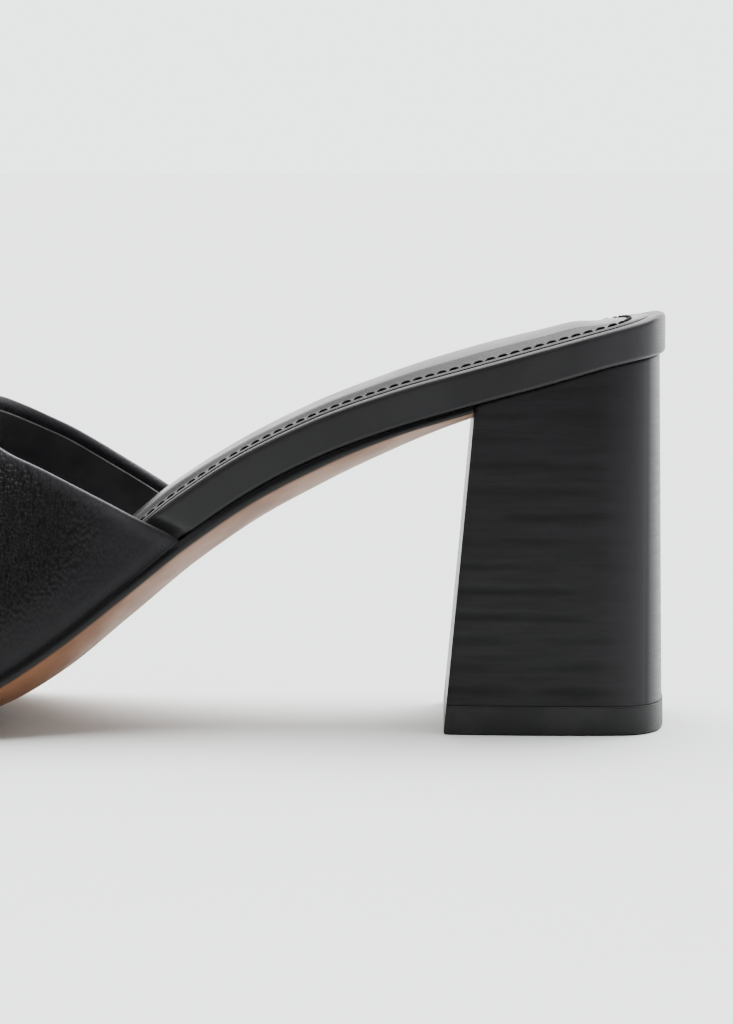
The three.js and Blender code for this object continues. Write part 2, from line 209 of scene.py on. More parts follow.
# Sections of the sole and the sock: the thickness of the footbed's board and of the outsole's
# edge, the outsole's belly and welt, and the sock's crown.
LAYERS = table(
    "along board edge bulge welt crown",
    (0.0, 1.13, 0.6, 0.2, 0.0, 0.1),
    (0.06, 0.996, 0.6, 0.2, 0.0, 0.48),
    (0.083, 1.0, 0.6, 0.4, 0.0, 0.95),
    (0.11, 1.013, 0.6, 0.6, 0.0, 1.0),
    (0.155, 1.003, 0.6, 0.7, 0.0, 1.14),
    (0.2, 1.0, 0.6, 0.74, 0.0, 1.1),
    (0.26, 1.0, 0.7, 0.98, 0.0, 0.91),
    (0.33, 1.0, 1.0, 0.92, 0.0, 0.79),
    (0.4, 1.02, 1.0, 0.82, 0.1, 0.82),
    (0.44, 1.05, 1.0, 0.72, 0.4, 1.07),
    (0.5, 1.06, 1.0, 0.92, 0.8, 1.25),
    (0.56, 1.06, 1.0, 1.45, 0.8, 1.0),
    (0.61, 1.04, 1.0, 1.5, 0.85, 0.88),
    (0.66, 1.02, 1.0, 1.2, 0.85, 0.82),
    (0.7, 1.0, 1.0, 1.0, 0.85, 0.73),
    (0.84, 1.0, 1.0, 1.0, 0.85, 0.68),
    (0.92, 1.0, 1.0, 0.9, 0.5, 0.5),
    (1.0, 1.0, 1.0, 0.8, 0.25, 0.4),
)

# Rear and front edges of the vamp, from its inner feather line (around 0) to its outer one (1).
THROAT = table(
    "around along",
    (0.0, 0.4452),
    (0.037, 0.47),
    (0.103, 0.5106),
    (0.2, 0.5673),
    (0.25, 0.5953),
    (0.34, 0.63),
    (0.48, 0.654),
    (0.618, 0.6235),
    (0.67, 0.6069),
    (0.724, 0.5848),
    (0.778, 0.5579),
    (0.86, 0.5148),
    (0.9415, 0.4688),
    (1.0, 0.4363),
)
MOUTH = table(
    "around along",
    (0.0, 0.905),
    (0.15, 0.882),
    (0.35, 0.844),
    (0.5, 0.83),
    (0.65, 0.832),
    (0.85, 0.854),
    (1.0, 0.868),
)

# Sections of the vamp over the foot, with the ridge as a share of the instep's height.
VAMP_SECTIONS = table(
    "along ridge square lean",
    (0.4, 1.04, 2.1, 0.1),
    (0.475, 0.93, 2.1, 0.12),
    (0.53, 0.84, 2.12, 0.14),
    (0.6, 0.735, 2.15, 0.16),
    (0.66, 0.65, 2.2, 0.18),
    (0.71, 0.575, 2.25, 0.18),
    (0.77, 0.485, 2.35, 0.16),
    (0.82, 0.42, 2.45, 0.13),
    (0.87, 0.365, 2.55, 0.1),
    (0.92, 0.32, 2.6, 0.08),
)

# Powers of the rounded back and toe in plan, and where the turn round an end starts.
BACK_POWER = 3.0
TOE_POWER = 2.4
END_TURN = 0.02
# Steps in which the search for a distance from the edge closes in.
HALVINGS = 24


def smooth(rows, key, column, at):
    """Smooth values of a table's column at places in its key column."""
    xs = np.asarray(rows[key], float)
    ys = np.asarray(rows[column], float)
    reach = np.diff(xs)
    slope = np.diff(ys) / reach
    tangent = np.concatenate(([slope[0]], np.zeros(len(xs) - 2), [slope[-1]]))
    tangent[1:-1] = (slope[:-1] * reach[1:] + slope[1:] * reach[:-1]) / (reach[:-1] + reach[1:])
    place = np.clip(at, xs[0], xs[-1])
    row = np.clip(np.searchsorted(xs, place, side="right") - 1, 0, len(xs) - 2)
    t = (place - xs[row]) / reach[row]
    start = ys[row] + t * (reach[row] * tangent[row] + 2 * ys[row])
    end = ys[row + 1] + (1 - t) * (2 * ys[row + 1] - reach[row] * tangent[row + 1])
    return (1 - t) ** 2 * start + t**2 * end


def soft_step(value, low, high):
    """0 below low, 1 above high, and a smooth rise between them."""
    t = np.clip((value - low) / (high - low), 0.0, 1.0)
    return t * t * (3 - 2 * t)


def soft_fall(value, low, high):
    """1 below low, 0 above high, and a smooth fall between them."""
    return 1 - soft_step(value, low, high)


def bell(value, reach):
    """1 where the value is 0, with a soft fall to both sides."""
    return np.exp(-((value / reach) ** 2))


class Last:
    """The forms that every piece follows. U runs along the foot from the back of the footbed."""

    def __init__(self, sizes):
        self.sizes = sizes
        self.edges = {
            "along": PLAN["along"],
            "inner": [share * getattr(sizes, width) for share, width in zip(PLAN["inner"], PLAN["width"])],
            "outer": [share * getattr(sizes, width) for share, width in zip(PLAN["outer"], PLAN["width"])],
        }
        self.ball_base = sizes.outsole_thickness + sizes.clearance - sizes.tread_wear
        tread_back = sizes.back_inset - sizes.back_flare - sizes.lift_lip
        self.tread_middle = (sizes.breast_foot + tread_back) / 2

    def read(self, rows, column, u):
        """A table's column at a place along the foot."""
        return smooth(rows, "along", column, u / self.sizes.footbed_length)

    def half_width(self, u, y):
        """From the middle line to the footbed's edge, on the side that Y is on."""
        inner = self.read(self.edges, "inner", u)
        outer = self.read(self.edges, "outer", u)
        return np.where(np.asarray(y) < 0, inner, outer)

    def middle_height(self, u):
        """Floor to the footbed's underside along the middle line."""
        sizes = self.sizes
        climb = self.read(PROFILE, "climb", u) * (sizes.heel_height - self.ball_base)
        return self.ball_base + climb + self.read(PROFILE, "spring", u) * sizes.toe_spring

    def across(self, u, y):
        """Share of the half width, from -1 at the inner edge to 1 at the outer one."""
        return y / self.half_width(u, y)

    def cup(self, u, y):
        """Share of the arch cup that the edge rises by, on the side that Y is on."""
        inner = self.read(PROFILE, "inner_cup", u)
        outer = self.read(PROFILE, "outer_cup", u)
        return np.where(np.asarray(y) < 0, inner, outer)

    def underside(self, u, y):
        """Height of the footbed's underside."""
        return self.middle_height(u) + self.sizes.arch_cup * self.cup(u, y) * self.across(u, y) ** 2

    def upright(self, u):
        """How much longer a thickness square to the footbed is when it is measured upright."""
        step = 0.001
        rise = (self.middle_height(u + step) - self.middle_height(u - step)) / (2 * step)
        return np.hypot(1.0, rise)

    def bed_top(self, u, y):
        """Height of the footbed's top, which tilts from rim to rim."""
        outward = (1 + np.sin(np.clip(self.across(u, y), -1, 1) * math.pi / 2)) / 2
        inner = self.read(PROFILE, "inner_cup", u)
        outer = self.read(PROFILE, "outer_cup", u)
        rim = inner * (1 - outward) + outer * outward
        thickness = self.upright(u) * self.sizes.footbed_thickness * self.read(LAYERS, "board", u)
        return self.middle_height(u) + self.sizes.arch_cup * rim + thickness

    def breast(self, z):
        """Place of the heel's breast along the foot at a height."""
        sizes = self.sizes
        slope = (sizes.breast_top - sizes.breast_foot) / self.middle_height(sizes.breast_top)
        return sizes.breast_foot + slope * z

    def belly(self, u, y, fill):
        """Height of the outsole's underside before the ball wears it flat."""
        sizes = self.sizes
        depth = (sizes.outsole_thickness - sizes.outsole_edge) * self.read(LAYERS, "bulge", u) * fill
        edge = sizes.outsole_edge * self.read(LAYERS, "edge", u)
        return self.underside(u, y) - sizes.clearance - self.upright(u) * (edge + depth)

    def stations(self, back_out, toe_out, end_steps, middle_steps):
        """Places along a plan, with the share of the width that the rounded ends leave there."""
        sizes = self.sizes
        turn = np.linspace(END_TURN, math.pi / 2, end_steps, endpoint=False)
        back = (sizes.back_round + back_out) * (1 - np.cos(turn) ** (2 / BACK_POWER)) - back_out
        toe_depth = (sizes.toe_round + toe_out) * (1 - np.cos(turn) ** (2 / TOE_POWER))
        toe = (sizes.footbed_length + toe_out - toe_depth)[::-1]
        middle = np.linspace(sizes.back_round, sizes.footbed_length - sizes.toe_round, middle_steps + 1)
        u = np.concatenate([back, middle, toe])
        back_share = np.sin(turn) ** (2 / BACK_POWER)
        toe_share = (np.sin(turn) ** (2 / TOE_POWER))[::-1]
        return u, np.concatenate([back_share, np.ones(middle_steps + 1), toe_share])

    def plan_place(self, u, share, side, out):
        """Y and fill of a place on a plan; fill is 0 at its edge and 1 along the middle."""
        y = side * (self.half_width(u, side) + out) * share
        return y, (1 - side**2) * share**2

    def inset(self, u, y, reach):
        """Distance of a place from the footbed's edge, inward, up to reach."""
        sizes = self.sizes
        low = np.full(np.shape(u), -reach)
        high = np.full(np.shape(u), reach / 4)
        for _ in range(HALVINGS):
            out = (low + high) / 2
            back = np.clip((sizes.back_round - u) / (sizes.back_round + out), 0, 1)
            toe = np.clip((u - sizes.footbed_length + sizes.toe_round) / (sizes.toe_round + out), 0, 1)
            share = (1 - back**BACK_POWER) ** (1 / BACK_POWER) * (1 - toe**TOE_POWER) ** (1 / TOE_POWER)
            within = (self.half_width(u, y) + out) * share > np.abs(y)
            high = np.where(within, out, high)
            low = np.where(within, low, out)
        return -(low + high) / 2

    def to_x(self, u):
        """X of a place along the foot; the middle of the heel's tread is at 0."""
        return self.tread_middle - u


# Meshes


def block_surface(counts):
    """Cell corners on the surface of a block of cells, its quads, and the side that each is on."""
    ni, nj, nk = counts
    grid = np.indices((ni + 1, nj + 1, nk + 1))
    ends = (grid[0] % ni == 0) | (grid[1] % nj == 0) | (grid[2] % nk == 0)
    index = np.full(ends.shape, -1)
    index[ends] = np.arange(ends.sum())
    corners = grid[:, ends]
    quads = []
    sides = []
    for axis, names in enumerate((("i0", "i1"), ("j0", "j1"), ("k0", "k1"))):
        for end, name in zip((0, -1), names):
            sheet = np.take(index, end, axis=axis)
            quad = np.stack([sheet[:-1, :-1], sheet[1:, :-1], sheet[1:, 1:], sheet[:-1, 1:]], -1)
            quads.append(quad.reshape(-1, 4))
            sides += [name] * len(quads[-1])
    return corners, np.concatenate(quads), np.array(sides)


def make_piece(name, points, quads, materials, slots=None, fields=None):
    """A closed smooth mesh in the row frame, facing out, with point fields for its material."""
    mesh = bpy.data.meshes.new(name)
    mesh.from_pydata(points.tolist(), [], quads.tolist())
    for material in materials:
        mesh.materials.append(material)
    if slots is not None:
        mesh.polygons.foreach_set("material_index", slots)
    for field, values in (fields or {}).items():
        attribute = mesh.attributes.new(field, "FLOAT", "POINT")
        attribute.data.foreach_set("value", np.ascontiguousarray(values, np.float32))
    shell = bmesh.new()
    shell.from_mesh(mesh)
    bmesh.ops.recalc_face_normals(shell, faces=shell.faces)
    shell.to_mesh(mesh)
    shell.free()
    mesh.polygons.foreach_set("use_smooth", [True] * len(mesh.polygons))
    mesh.update()
    piece = bpy.data.objects.new(name, mesh)
    bpy.context.scene.collection.objects.link(piece)
    return piece


def spread(j, count):
    """Places across a layer from -1 to 1, closer together near its edges."""
    return np.sin((math.pi / 2) * (2 * j / count - 1))


def round_levels(count):
    """Shares of a thickness, closer together near its two faces."""
    return (1 - np.cos(math.pi * np.arange(count + 1) / count)) / 2


def round_off(share):
    """Height lost on a quarter turn of radius 1, at a share of the way out."""
    return 1 - np.sqrt(np.clip(1 - share**2, 0, 1))


def edge_rounding(level, thickness, low_round, high_round):
    """How far an edge is drawn in at a level by its rounded corners."""
    height = level * thickness
    low = np.clip((low_round - height) / max(low_round, 1e-9), 0, 1)
    high = np.clip((height - thickness + high_round) / max(high_round, 1e-9), 0, 1)
    return low_round * round_off(low) + high_round * round_off(high)


def sole_layer(last, u, share, out, levels, drawn_in, bottom, top, across, back_rim=True):
    """Points and quads of one layer of the sole, with each point's place along and across."""
    (i, j, k), quads, _ = block_surface((len(u) - 1, across, len(levels) - 1))
    level = levels[k]
    draw = drawn_in(level)
    middle = last.sizes.footbed_length / 2
    pulled = (u[i] - middle) * (draw / middle)
    at = u[i] - (pulled if back_rim else np.maximum(pulled, 0.0))
    side = spread(j, across)
    y, fill = last.plan_place(at, share[i], side, out(u[i]) - draw)
    low = bottom(at, y, fill)
    z = low + level * (top(at, y, fill) - low)
    return np.stack([last.to_x(at), y, z], 1), quads, at, y


# Materials


class Nodes:
    """A node tree that is built up by short calls."""

    def __init__(self, tree):
        self.tree = tree
        tree.nodes.clear()

    def add(self, kind, **settings):
        node = self.tree.nodes.new(kind)
        for key, value in settings.items():
            setattr(node, key, value)
        return node

    def link(self, source, target):
        self.tree.links.new(source, target)

    def feed(self, node, name, value):
        """Links an output to a socket, or sets the socket's own value."""
        socket = node.inputs[name]
        if isinstance(value, bpy.types.NodeSocket):
            self.link(value, socket)
        else:
            socket.default_value = value

    def math(self, operation, *values):
        node = self.add("ShaderNodeMath", operation=operation)
        for i, value in enumerate(values):
            self.feed(node, i, value)
        return node.outputs[0]

    def times(self, first, second):
        return self.math("MULTIPLY", first, second)

    def ramp(self, value, low, high, to_low=0.0, to_high=1.0):
        """Smooth change from to_low to to_high while the value goes from low to high."""
        node = self.add("ShaderNodeMapRange", interpolation_type="SMOOTHSTEP")
        for name, given in (
            ("Value", value),
            ("From Min", low),
            ("From Max", high),
            ("To Min", to_low),
            ("To Max", to_high),
        ):
            self.feed(node, name, given)
        return node.outputs["Result"]

    def blend(self, amount, first, second):
        node = self.add("ShaderNodeMix", data_type="RGBA")
        self.feed(node, "Factor", amount)
        colours = [socket for socket in node.inputs if socket.type == "RGBA"]
        for socket, given in zip(colours, (first, second)):
            if isinstance(given, bpy.types.NodeSocket):
                self.link(given, socket)
            else:
                socket.default_value = given
        return next(socket for socket in node.outputs if socket.type == "RGBA")

    def field(self, name):
        return self.add("ShaderNodeAttribute", attribute_name=name).outputs["Fac"]

    def place(self, scale=(1.0, 1.0, 1.0)):
        """Object coordinates in metres, stretched by scale."""
        source = self.add("ShaderNodeTexCoord").outputs["Object"]
        mapping = self.add("ShaderNodeMapping")
        self.link(source, mapping.inputs["Vector"])
        mapping.inputs["Scale"].default_value = scale
        return mapping.outputs["Vector"]

    def noise(self, vector, scale, detail=2.0, roughness=0.5):
        node = self.add("ShaderNodeTexNoise")
        self.link(vector, node.inputs["Vector"])
        for name, given in (("Scale", scale), ("Detail", detail), ("Roughness", roughness)):
            self.feed(node, name, given)
        return node.outputs["Fac"]


def effect_group(name, inputs, outputs, build):
    """A shader node group with named float inputs and outputs, made once."""
    if name in bpy.data.node_groups:
        return bpy.data.node_groups[name]
    group = bpy.data.node_groups.new(name, "ShaderNodeTree")
    for label, default in inputs:
        kind = "NodeSocketVector" if default is None else "NodeSocketFloat"
        socket = group.interface.new_socket(name=label, in_out="INPUT", socket_type=kind)
        if default is not None:
            socket.default_value = default
    for label in outputs:
        group.interface.new_socket(name=label, in_out="OUTPUT", socket_type="NodeSocketFloat")
    nodes = Nodes(group)
    entry = nodes.add("NodeGroupInput")
    leave = nodes.add("NodeGroupOutput")
    for label, value in build(nodes, entry.outputs).items():
        nodes.link(value, leave.inputs[label])
    return group


def leather_grain():
    """Pebbles with valleys between them, over fine pores. Height is about 0 to 1."""

    def build(nodes, given):
        warp = nodes.add("ShaderNodeTexNoise")
        nodes.link(given["Place"], warp.inputs["Vector"])
        nodes.link(nodes.times(given["Scale"], 0.4), warp.inputs["Scale"])
        bend = nodes.add("ShaderNodeVectorMath", operation="MULTIPLY_ADD")
        nodes.link(warp.outputs["Color"], bend.inputs[0])
        spread_out = nodes.add("ShaderNodeCombineXYZ")
        amount = nodes.math("DIVIDE", 0.3, given["Scale"])
        for axis in "XYZ":
            nodes.link(amount, spread_out.inputs[axis])
        nodes.link(spread_out.outputs[0], bend.inputs[1])
        nodes.link(given["Place"], bend.inputs[2])
        cells = nodes.add("ShaderNodeTexVoronoi", feature="SMOOTH_F1")
        nodes.link(bend.outputs[0], cells.inputs["Vector"])
        nodes.link(given["Scale"], cells.inputs["Scale"])
        cells.inputs["Smoothness"].default_value = 0.35
        pebble = nodes.math("SUBTRACT", 1.0, cells.outputs["Distance"])
        pores = nodes.noise(given["Place"], nodes.times(given["Scale"], 3.1), 3.0, 0.6)
        pore_share = nodes.times(pores, given["Pores"])
        height = nodes.math("ADD", nodes.times(pebble, given["Pebble"]), pore_share)
        return {"Height": height, "Valley": nodes.ramp(cells.outputs["Distance"], 0.45, 0.8)}

    inputs = (("Place", None), ("Scale", 900.0), ("Pebble", 1.0), ("Pores", 0.4))
    return effect_group("leather_grain", inputs, ("Height", "Valley"), build)


def soft_marks():
    """Broad uneven patches of handling and polish, with a few thin scuffs."""

    def build(nodes, given):
        broad = nodes.noise(given["Place"], given["Scale"], 3.0, 0.55)
        streak = nodes.add("ShaderNodeMapping")
        nodes.link(given["Place"], streak.inputs["Vector"])
        streak.inputs["Rotation"].default_value = (0.3, 0.5, 0.2)
        streak.inputs["Scale"].default_value = (1.0, 6.0, 9.0)
        thin = nodes.noise(streak.outputs[0], nodes.times(given["Scale"], 4.0), 2.0)
        return {"Patch": nodes.ramp(broad, 0.35, 0.65), "Scuff": nodes.ramp(thin, 0.66, 0.74)}

    return effect_group("soft_marks", (("Place", None), ("Scale", 60.0)), ("Patch", "Scuff"), build)


def fine_dust():
    """Sparse specks that lie on upper faces."""

    def build(nodes, given):
        specks = nodes.add("ShaderNodeTexVoronoi", feature="F1")
        nodes.link(given["Place"], specks.inputs["Vector"])
        nodes.link(given["Scale"], specks.inputs["Scale"])
        dot = nodes.ramp(specks.outputs["Distance"], 0.06, 0.1, 1.0, 0.0)
        chance = nodes.noise(given["Place"], nodes.times(given["Scale"], 0.2), 2.0)
        return {"Mask": nodes.times(dot, nodes.ramp(chance, 0.62, 0.7))}

    return effect_group("fine_dust", (("Place", None), ("Scale", 500.0)), ("Mask",), build)


def use_group(nodes, group, **values):
    """Places an effect group in a material with its own values."""
    node = nodes.add("ShaderNodeGroup", node_tree=group)
    for name, value in values.items():
        nodes.feed(node, name.replace("_", " ").title(), value)
    return node.outputs


def tint(colour, share=1.0):
    """A colour times a share, with full alpha."""
    return (*(min(1.0, part * share) for part in colour), 1.0)


def axis_places(nodes, vector):
    """The X, Y and Z outputs of a vector."""
    split = nodes.add("ShaderNodeSeparateXYZ")
    nodes.link(vector, split.inputs[0])
    return split.outputs


def start_material(name, gloss):
    """A new material with a surface shader, of a specular level, that is linked to its output."""
    material = bpy.data.materials.new(name)
    material.use_nodes = True
    nodes = Nodes(material.node_tree)
    surface = nodes.add("ShaderNodeBsdfPrincipled")
    surface.inputs["Specular IOR Level"].default_value = gloss
    nodes.link(surface.outputs[0], nodes.add("ShaderNodeOutputMaterial").inputs["Surface"])
    return material, nodes, surface


def dress(nodes, surface, tone, rough, *layers):
    """Links the tone and the roughness, and stacks bump layers: each a height, with a depth in metres."""
    nodes.link(tone, surface.inputs["Base Color"])
    nodes.link(rough, surface.inputs["Roughness"])
    normal = None
    for height, depth in layers:
        bump = nodes.add("ShaderNodeBump")
        bump.inputs["Distance"].default_value = depth
        nodes.link(height, bump.inputs["Height"])
        if normal is not None:
            nodes.link(normal, bump.inputs["Normal"])
        normal = bump.outputs[0]
    nodes.link(normal, surface.inputs["Normal"])


# Looks of the smooth leathers. Depth is the grain's height in metres, valleys is how far the
# valleys of the grain darken.
WRAP_LOOK = {
    "gloss": 0.24,
    "roughness": 0.38,
    "grain_scale": 2600.0,
    "pebble": 0.3,
    "pores": 0.5,
    "depth": 0.00001,
    "valleys": 0.15,
}
SOCK_LOOK = {
    "gloss": 0.12,
    "roughness": 0.27,
    "grain_scale": 1700.0,
    "pebble": 0.45,
    "pores": 0.6,
    "depth": 0.00005,
    "valleys": 0.7,
}
DUST_COLOUR = (0.5, 0.5, 0.48, 1.0)
DUST_SHARE = 0.12
# Painted shade along the wrap's low edge: its colour and how much of it shows.
FOLD_SHADOW = (0.001, 0.001, 0.001, 1.0)
FOLD_SHARE = 0.75
# Pleats of the wrap, gathered round the back of the footbed, at places along X.
PLEAT_PITCH = 0.0007
PLEAT_DEPTH = 0.0001
PLEATS_START = 0.019
PLEATS_FULL = 0.022
# Where along X the wrap's back is painted lighter, a painted highlight: where it starts and where it is
# full.
BACK_HIGHLIGHT_START = 0.0
BACK_HIGHLIGHT_FULL = 0.019


def wrap_marks(nodes, place, tone, colour):
    """Paints shade on the wrap's low edge, paints a highlight on its back as a lighter tone, and pleats it:
    its tone and its pleats.
    """
    # Painted shade on the wrap's low edge.
    tone = nodes.blend(nodes.times(nodes.field("low_edge_shade"), FOLD_SHARE), tone, FOLD_SHADOW)
    at = axis_places(nodes, place)
    # Painted highlight: the wrap is painted lighter toward its back.
    tone = nodes.blend(nodes.ramp(at["X"], BACK_HIGHLIGHT_START, BACK_HIGHLIGHT_FULL), tone, tint(colour, 2.0))
    turns = nodes.math("SINE", nodes.times(at["Z"], 2 * math.pi / PLEAT_PITCH))
    at_back = nodes.ramp(at["X"], PLEATS_START, PLEATS_FULL)
    return tone, nodes.times(nodes.times(turns, at_back), 0.5)


def black_leather(
    name, colour, gloss, roughness, grain_scale, pebble, pores, depth, valleys, wrapped=False
):
    """Dyed leather with its grain, handling marks and a few specks of dust. The wrap also gets painted
    shade on its low edge and a painted highlight on its back.
    """
    material, nodes, surface = start_material(name, gloss)
    place = nodes.place()
    grain = use_group(nodes, leather_grain(), place=place, scale=grain_scale, pebble=pebble, pores=pores)
    marks = use_group(nodes, soft_marks(), place=place, scale=55.0)
    dust = use_group(nodes, fine_dust(), place=place, scale=420.0)
    tone = nodes.blend(marks["Patch"], tint(colour), tint(colour, 1.15))
    tone = nodes.blend(nodes.times(grain["Valley"], valleys), tone, tint(colour, 0.55))
    tone = nodes.blend(nodes.times(dust["Mask"], DUST_SHARE), tone, DUST_COLOUR)
    relief = [(grain["Height"], depth)]
    # The wrap gets painted shade on its low edge and a painted highlight at its back.
    if wrapped:
        tone, pleats = wrap_marks(nodes, place, tone, colour)
        relief.append((pleats, PLEAT_DEPTH))
    rough = nodes.ramp(marks["Patch"], 0.0, 1.0, roughness - 0.03, roughness + 0.04)
    rough = nodes.math("ADD", rough, nodes.times(marks["Scuff"], 0.05))
    dress(nodes, surface, tone, rough, *relief)
    return material


# Height of the vamp's grain in metres, and how it is stretched along, across and up the shoe.
VAMP_GRAIN_DEPTH = 0.00065
VAMP_GRAIN_STRETCH = (1.25, 1.1, 0.66)
# Shares of the vamp's colour where it is pulled smooth (painted lighter, a painted reflection), along its
# rolled edges and inner face (painted highlight) or in a valley.
SMOOTH_REFLECTION_TONE = 2.6
EDGE_HIGHLIGHT_TONE = 9.0
VALLEY_TONE = 0.4


def vamp_leather_material(colours):
    """Pebbled leather that is stretched smooth toward the sole and has a shining coat along its rolled
    edges. Its smooth parts are painted lighter as a painted reflection, and its rolled edges and inner face
    are painted lighter as painted highlights.
    """
    material, nodes, surface = start_material("vamp_leather", 0.12)
    surface.inputs["Coat Roughness"].default_value = 0.5
    stretched = nodes.place(VAMP_GRAIN_STRETCH)
    grain = use_group(nodes, leather_grain(), place=stretched, scale=1400.0, pebble=1.0, pores=0.25)
    marks = use_group(nodes, soft_marks(), place=nodes.place(), scale=45.0)
    smooth_and_reflection = nodes.field("smooth_and_painted_reflection")
    polish_and_highlight = nodes.field("polish_and_highlight")
    relief = nodes.ramp(smooth_and_reflection, 0.0, 1.0, 1.0, 0.12)
    # Painted highlight colour for the rolled edges and for the leather's inner face.
    edge_highlight = tint(colours.vamp, EDGE_HIGHLIGHT_TONE)
    # Painted reflection: the smooth parts are painted lighter.
    tone = nodes.blend(smooth_and_reflection, tint(colours.vamp), tint(colours.vamp, SMOOTH_REFLECTION_TONE))
    # Painted highlight along the rolled edges.
    tone = nodes.blend(nodes.times(polish_and_highlight, 0.6), tone, edge_highlight)
    # Painted light on the leather's inner face, which shows at the hem.
    tone = nodes.blend(nodes.field("inner_face_painted_light"), tone, edge_highlight)
    valley = nodes.times(nodes.times(grain["Valley"], relief), 0.8)
    tone = nodes.blend(valley, tone, tint(colours.vamp, VALLEY_TONE))
    rough = nodes.ramp(marks["Patch"], 0.0, 1.0, 0.38, 0.43)
    rough = nodes.math("ADD", rough, nodes.times(nodes.field("tucked"), 0.4))
    nodes.link(nodes.times(polish_and_highlight, 0.3), surface.inputs["Coat Weight"])
    dress(nodes, surface, tone, rough, (nodes.times(grain["Height"], relief), VAMP_GRAIN_DEPTH))
    return material


def plain_stuff(name, colour, roughness, gloss, tooth_scale, depth):
    """Plain stuff with a fine tooth, such as thread, rubber or lining."""
    material, nodes, surface = start_material(name, gloss)
    place = nodes.place()
    tooth = nodes.noise(place, tooth_scale, 3.0, 0.6)
    marks = use_group(nodes, soft_marks(), place=place, scale=70.0)
    tone = nodes.blend(marks["Patch"], tint(colour), tint(colour, 1.5))
    rough = nodes.ramp(tooth, 0.3, 0.7, roughness - 0.04, roughness + 0.05)
    dress(nodes, surface, tone, rough, (tooth, depth))
    return material


# Distances from the outsole's edge where its black dye and the stain beside it start to fade and end.
DYE_FADE = (0.00015, 0.00045)
STAIN_FADE = (0.0004, 0.0016)


def outsole_material(colours):
    """Polished tan leather that darkens into the black dye of its edge."""
    material, nodes, surface = start_material("outsole_leather", 0.26)
    fibre = nodes.noise(nodes.place((0.35, 1.0, 1.0)), 900.0, 4.0, 0.65)
    cloud = nodes.noise(nodes.place(), 70.0, 3.0, 0.6)
    inset = nodes.field("inset")
    deep = tint(colours.tan, 0.72)
    tone = nodes.blend(nodes.ramp(cloud, 0.35, 0.7), tint(colours.tan), deep)
    tone = nodes.blend(nodes.times(nodes.ramp(fibre, 0.4, 0.8), 0.22), tone, deep)
    tone = nodes.blend(nodes.ramp(inset, *STAIN_FADE, 1.0, 0.0), tone, tint(colours.tan, 0.3))
    tone = nodes.blend(nodes.ramp(inset, *DYE_FADE, 1.0, 0.0), tone, tint(colours.edge_dye))
    dress(nodes, surface, tone, nodes.ramp(cloud, 0.3, 0.7, 0.46, 0.56), (fibre, 0.00002))
    return material


# Places on the heel in metres: where its joints fade with the height and toward the back, where its back
# edge is painted lighter as a painted reflection, the painted dark reflection line beside that edge, and
# how far the joints waver.
JOINT_FADE_UP = (0.012, 0.075)
JOINT_FADE_BACK = (0.002, 0.017)
HEEL_BACK_REFLECTION = (0.007, 0.0182)
HEEL_REFLECTION_LINE = 0.0188
HEEL_REFLECTION_LINE_WIDTH = (0.0002, 0.0006)
LAYER_WAVER = 0.0024


def stack_material(colours, layer):
    """Dyed layers of leather: soft joints that come and go, with fine level streaks between them. Its back
    is painted lighter as a painted reflection, with a painted dark reflection line beside its back edge.
    """
    material, nodes, surface = start_material("stacked_leather", 0.13)
    at = axis_places(nodes, nodes.add("ShaderNodeTexCoord").outputs["Object"])
    waver = nodes.noise(nodes.place((0.3, 0.3, 1.0)), 140.0, 2.0)
    wavered = nodes.math("MULTIPLY_ADD", waver, LAYER_WAVER, at["Z"])
    turns = nodes.math("FRACT", nodes.math("DIVIDE", wavered, layer))
    joint = nodes.ramp(nodes.math("ABSOLUTE", nodes.math("SUBTRACT", turns, 0.5)), 0.22, 0.48)
    presence = nodes.ramp(nodes.noise(nodes.place((0.55, 0.55, 1.0)), 70.0, 2.0), 0.34, 0.6)
    lower = nodes.ramp(at["Z"], *JOINT_FADE_UP, 1.0, 0.4)
    toward_back = nodes.ramp(at["X"], *JOINT_FADE_BACK, 1.0, 0.25)
    joint = nodes.times(nodes.times(joint, presence), nodes.times(lower, toward_back))
    streak = nodes.noise(nodes.place((0.07, 0.07, 1.0)), 1300.0, 4.0, 0.7)
    band = nodes.noise(nodes.place((0.14, 0.14, 1.0)), 300.0, 3.0, 0.6)
    darker = tint(colours.stack, 0.35)
    tone = nodes.blend(nodes.ramp(band, 0.35, 0.65), tint(colours.stack), tint(colours.stack, 1.35))
    tone = nodes.blend(nodes.times(nodes.ramp(streak, 0.45, 0.75), 0.4), tone, darker)
    tone = nodes.blend(nodes.times(joint, 0.85), tone, darker)
    # Painted reflection: the heel is painted lighter toward its back.
    tone = nodes.blend(nodes.ramp(at["X"], *HEEL_BACK_REFLECTION, 0.0, 0.8), tone, tint(colours.stack, 2.6))
    # Painted dark reflection: a dark line beside the heel's back edge.
    off_line = nodes.math("ABSOLUTE", nodes.math("SUBTRACT", at["X"], HEEL_REFLECTION_LINE))
    clear = nodes.ramp(off_line, *HEEL_REFLECTION_LINE_WIDTH)
    tone = nodes.blend(nodes.times(nodes.math("SUBTRACT", 1.0, clear), 0.6), tone, darker)
    rough = nodes.ramp(streak, 0.3, 0.7, 0.3, 0.37)
    groove = nodes.math("SUBTRACT", 1.0, joint)
    dress(nodes, surface, tone, rough, (groove, 0.00004), (streak, 0.000012), (band, 0.00003))
    return material


def floor_material(colours):
    """Matt studio paper."""
    material, nodes, surface = start_material("studio_floor", 0.1)
    mottle = nodes.ramp(nodes.noise(nodes.place(), 9.0, 3.0), 0.3, 0.7)
    tone = nodes.blend(mottle, tint(colours.floor), tint(colours.floor, 0.985))
    nodes.link(tone, surface.inputs["Base Color"])
    surface.inputs["Roughness"].default_value = 0.85
    return material


# Pieces


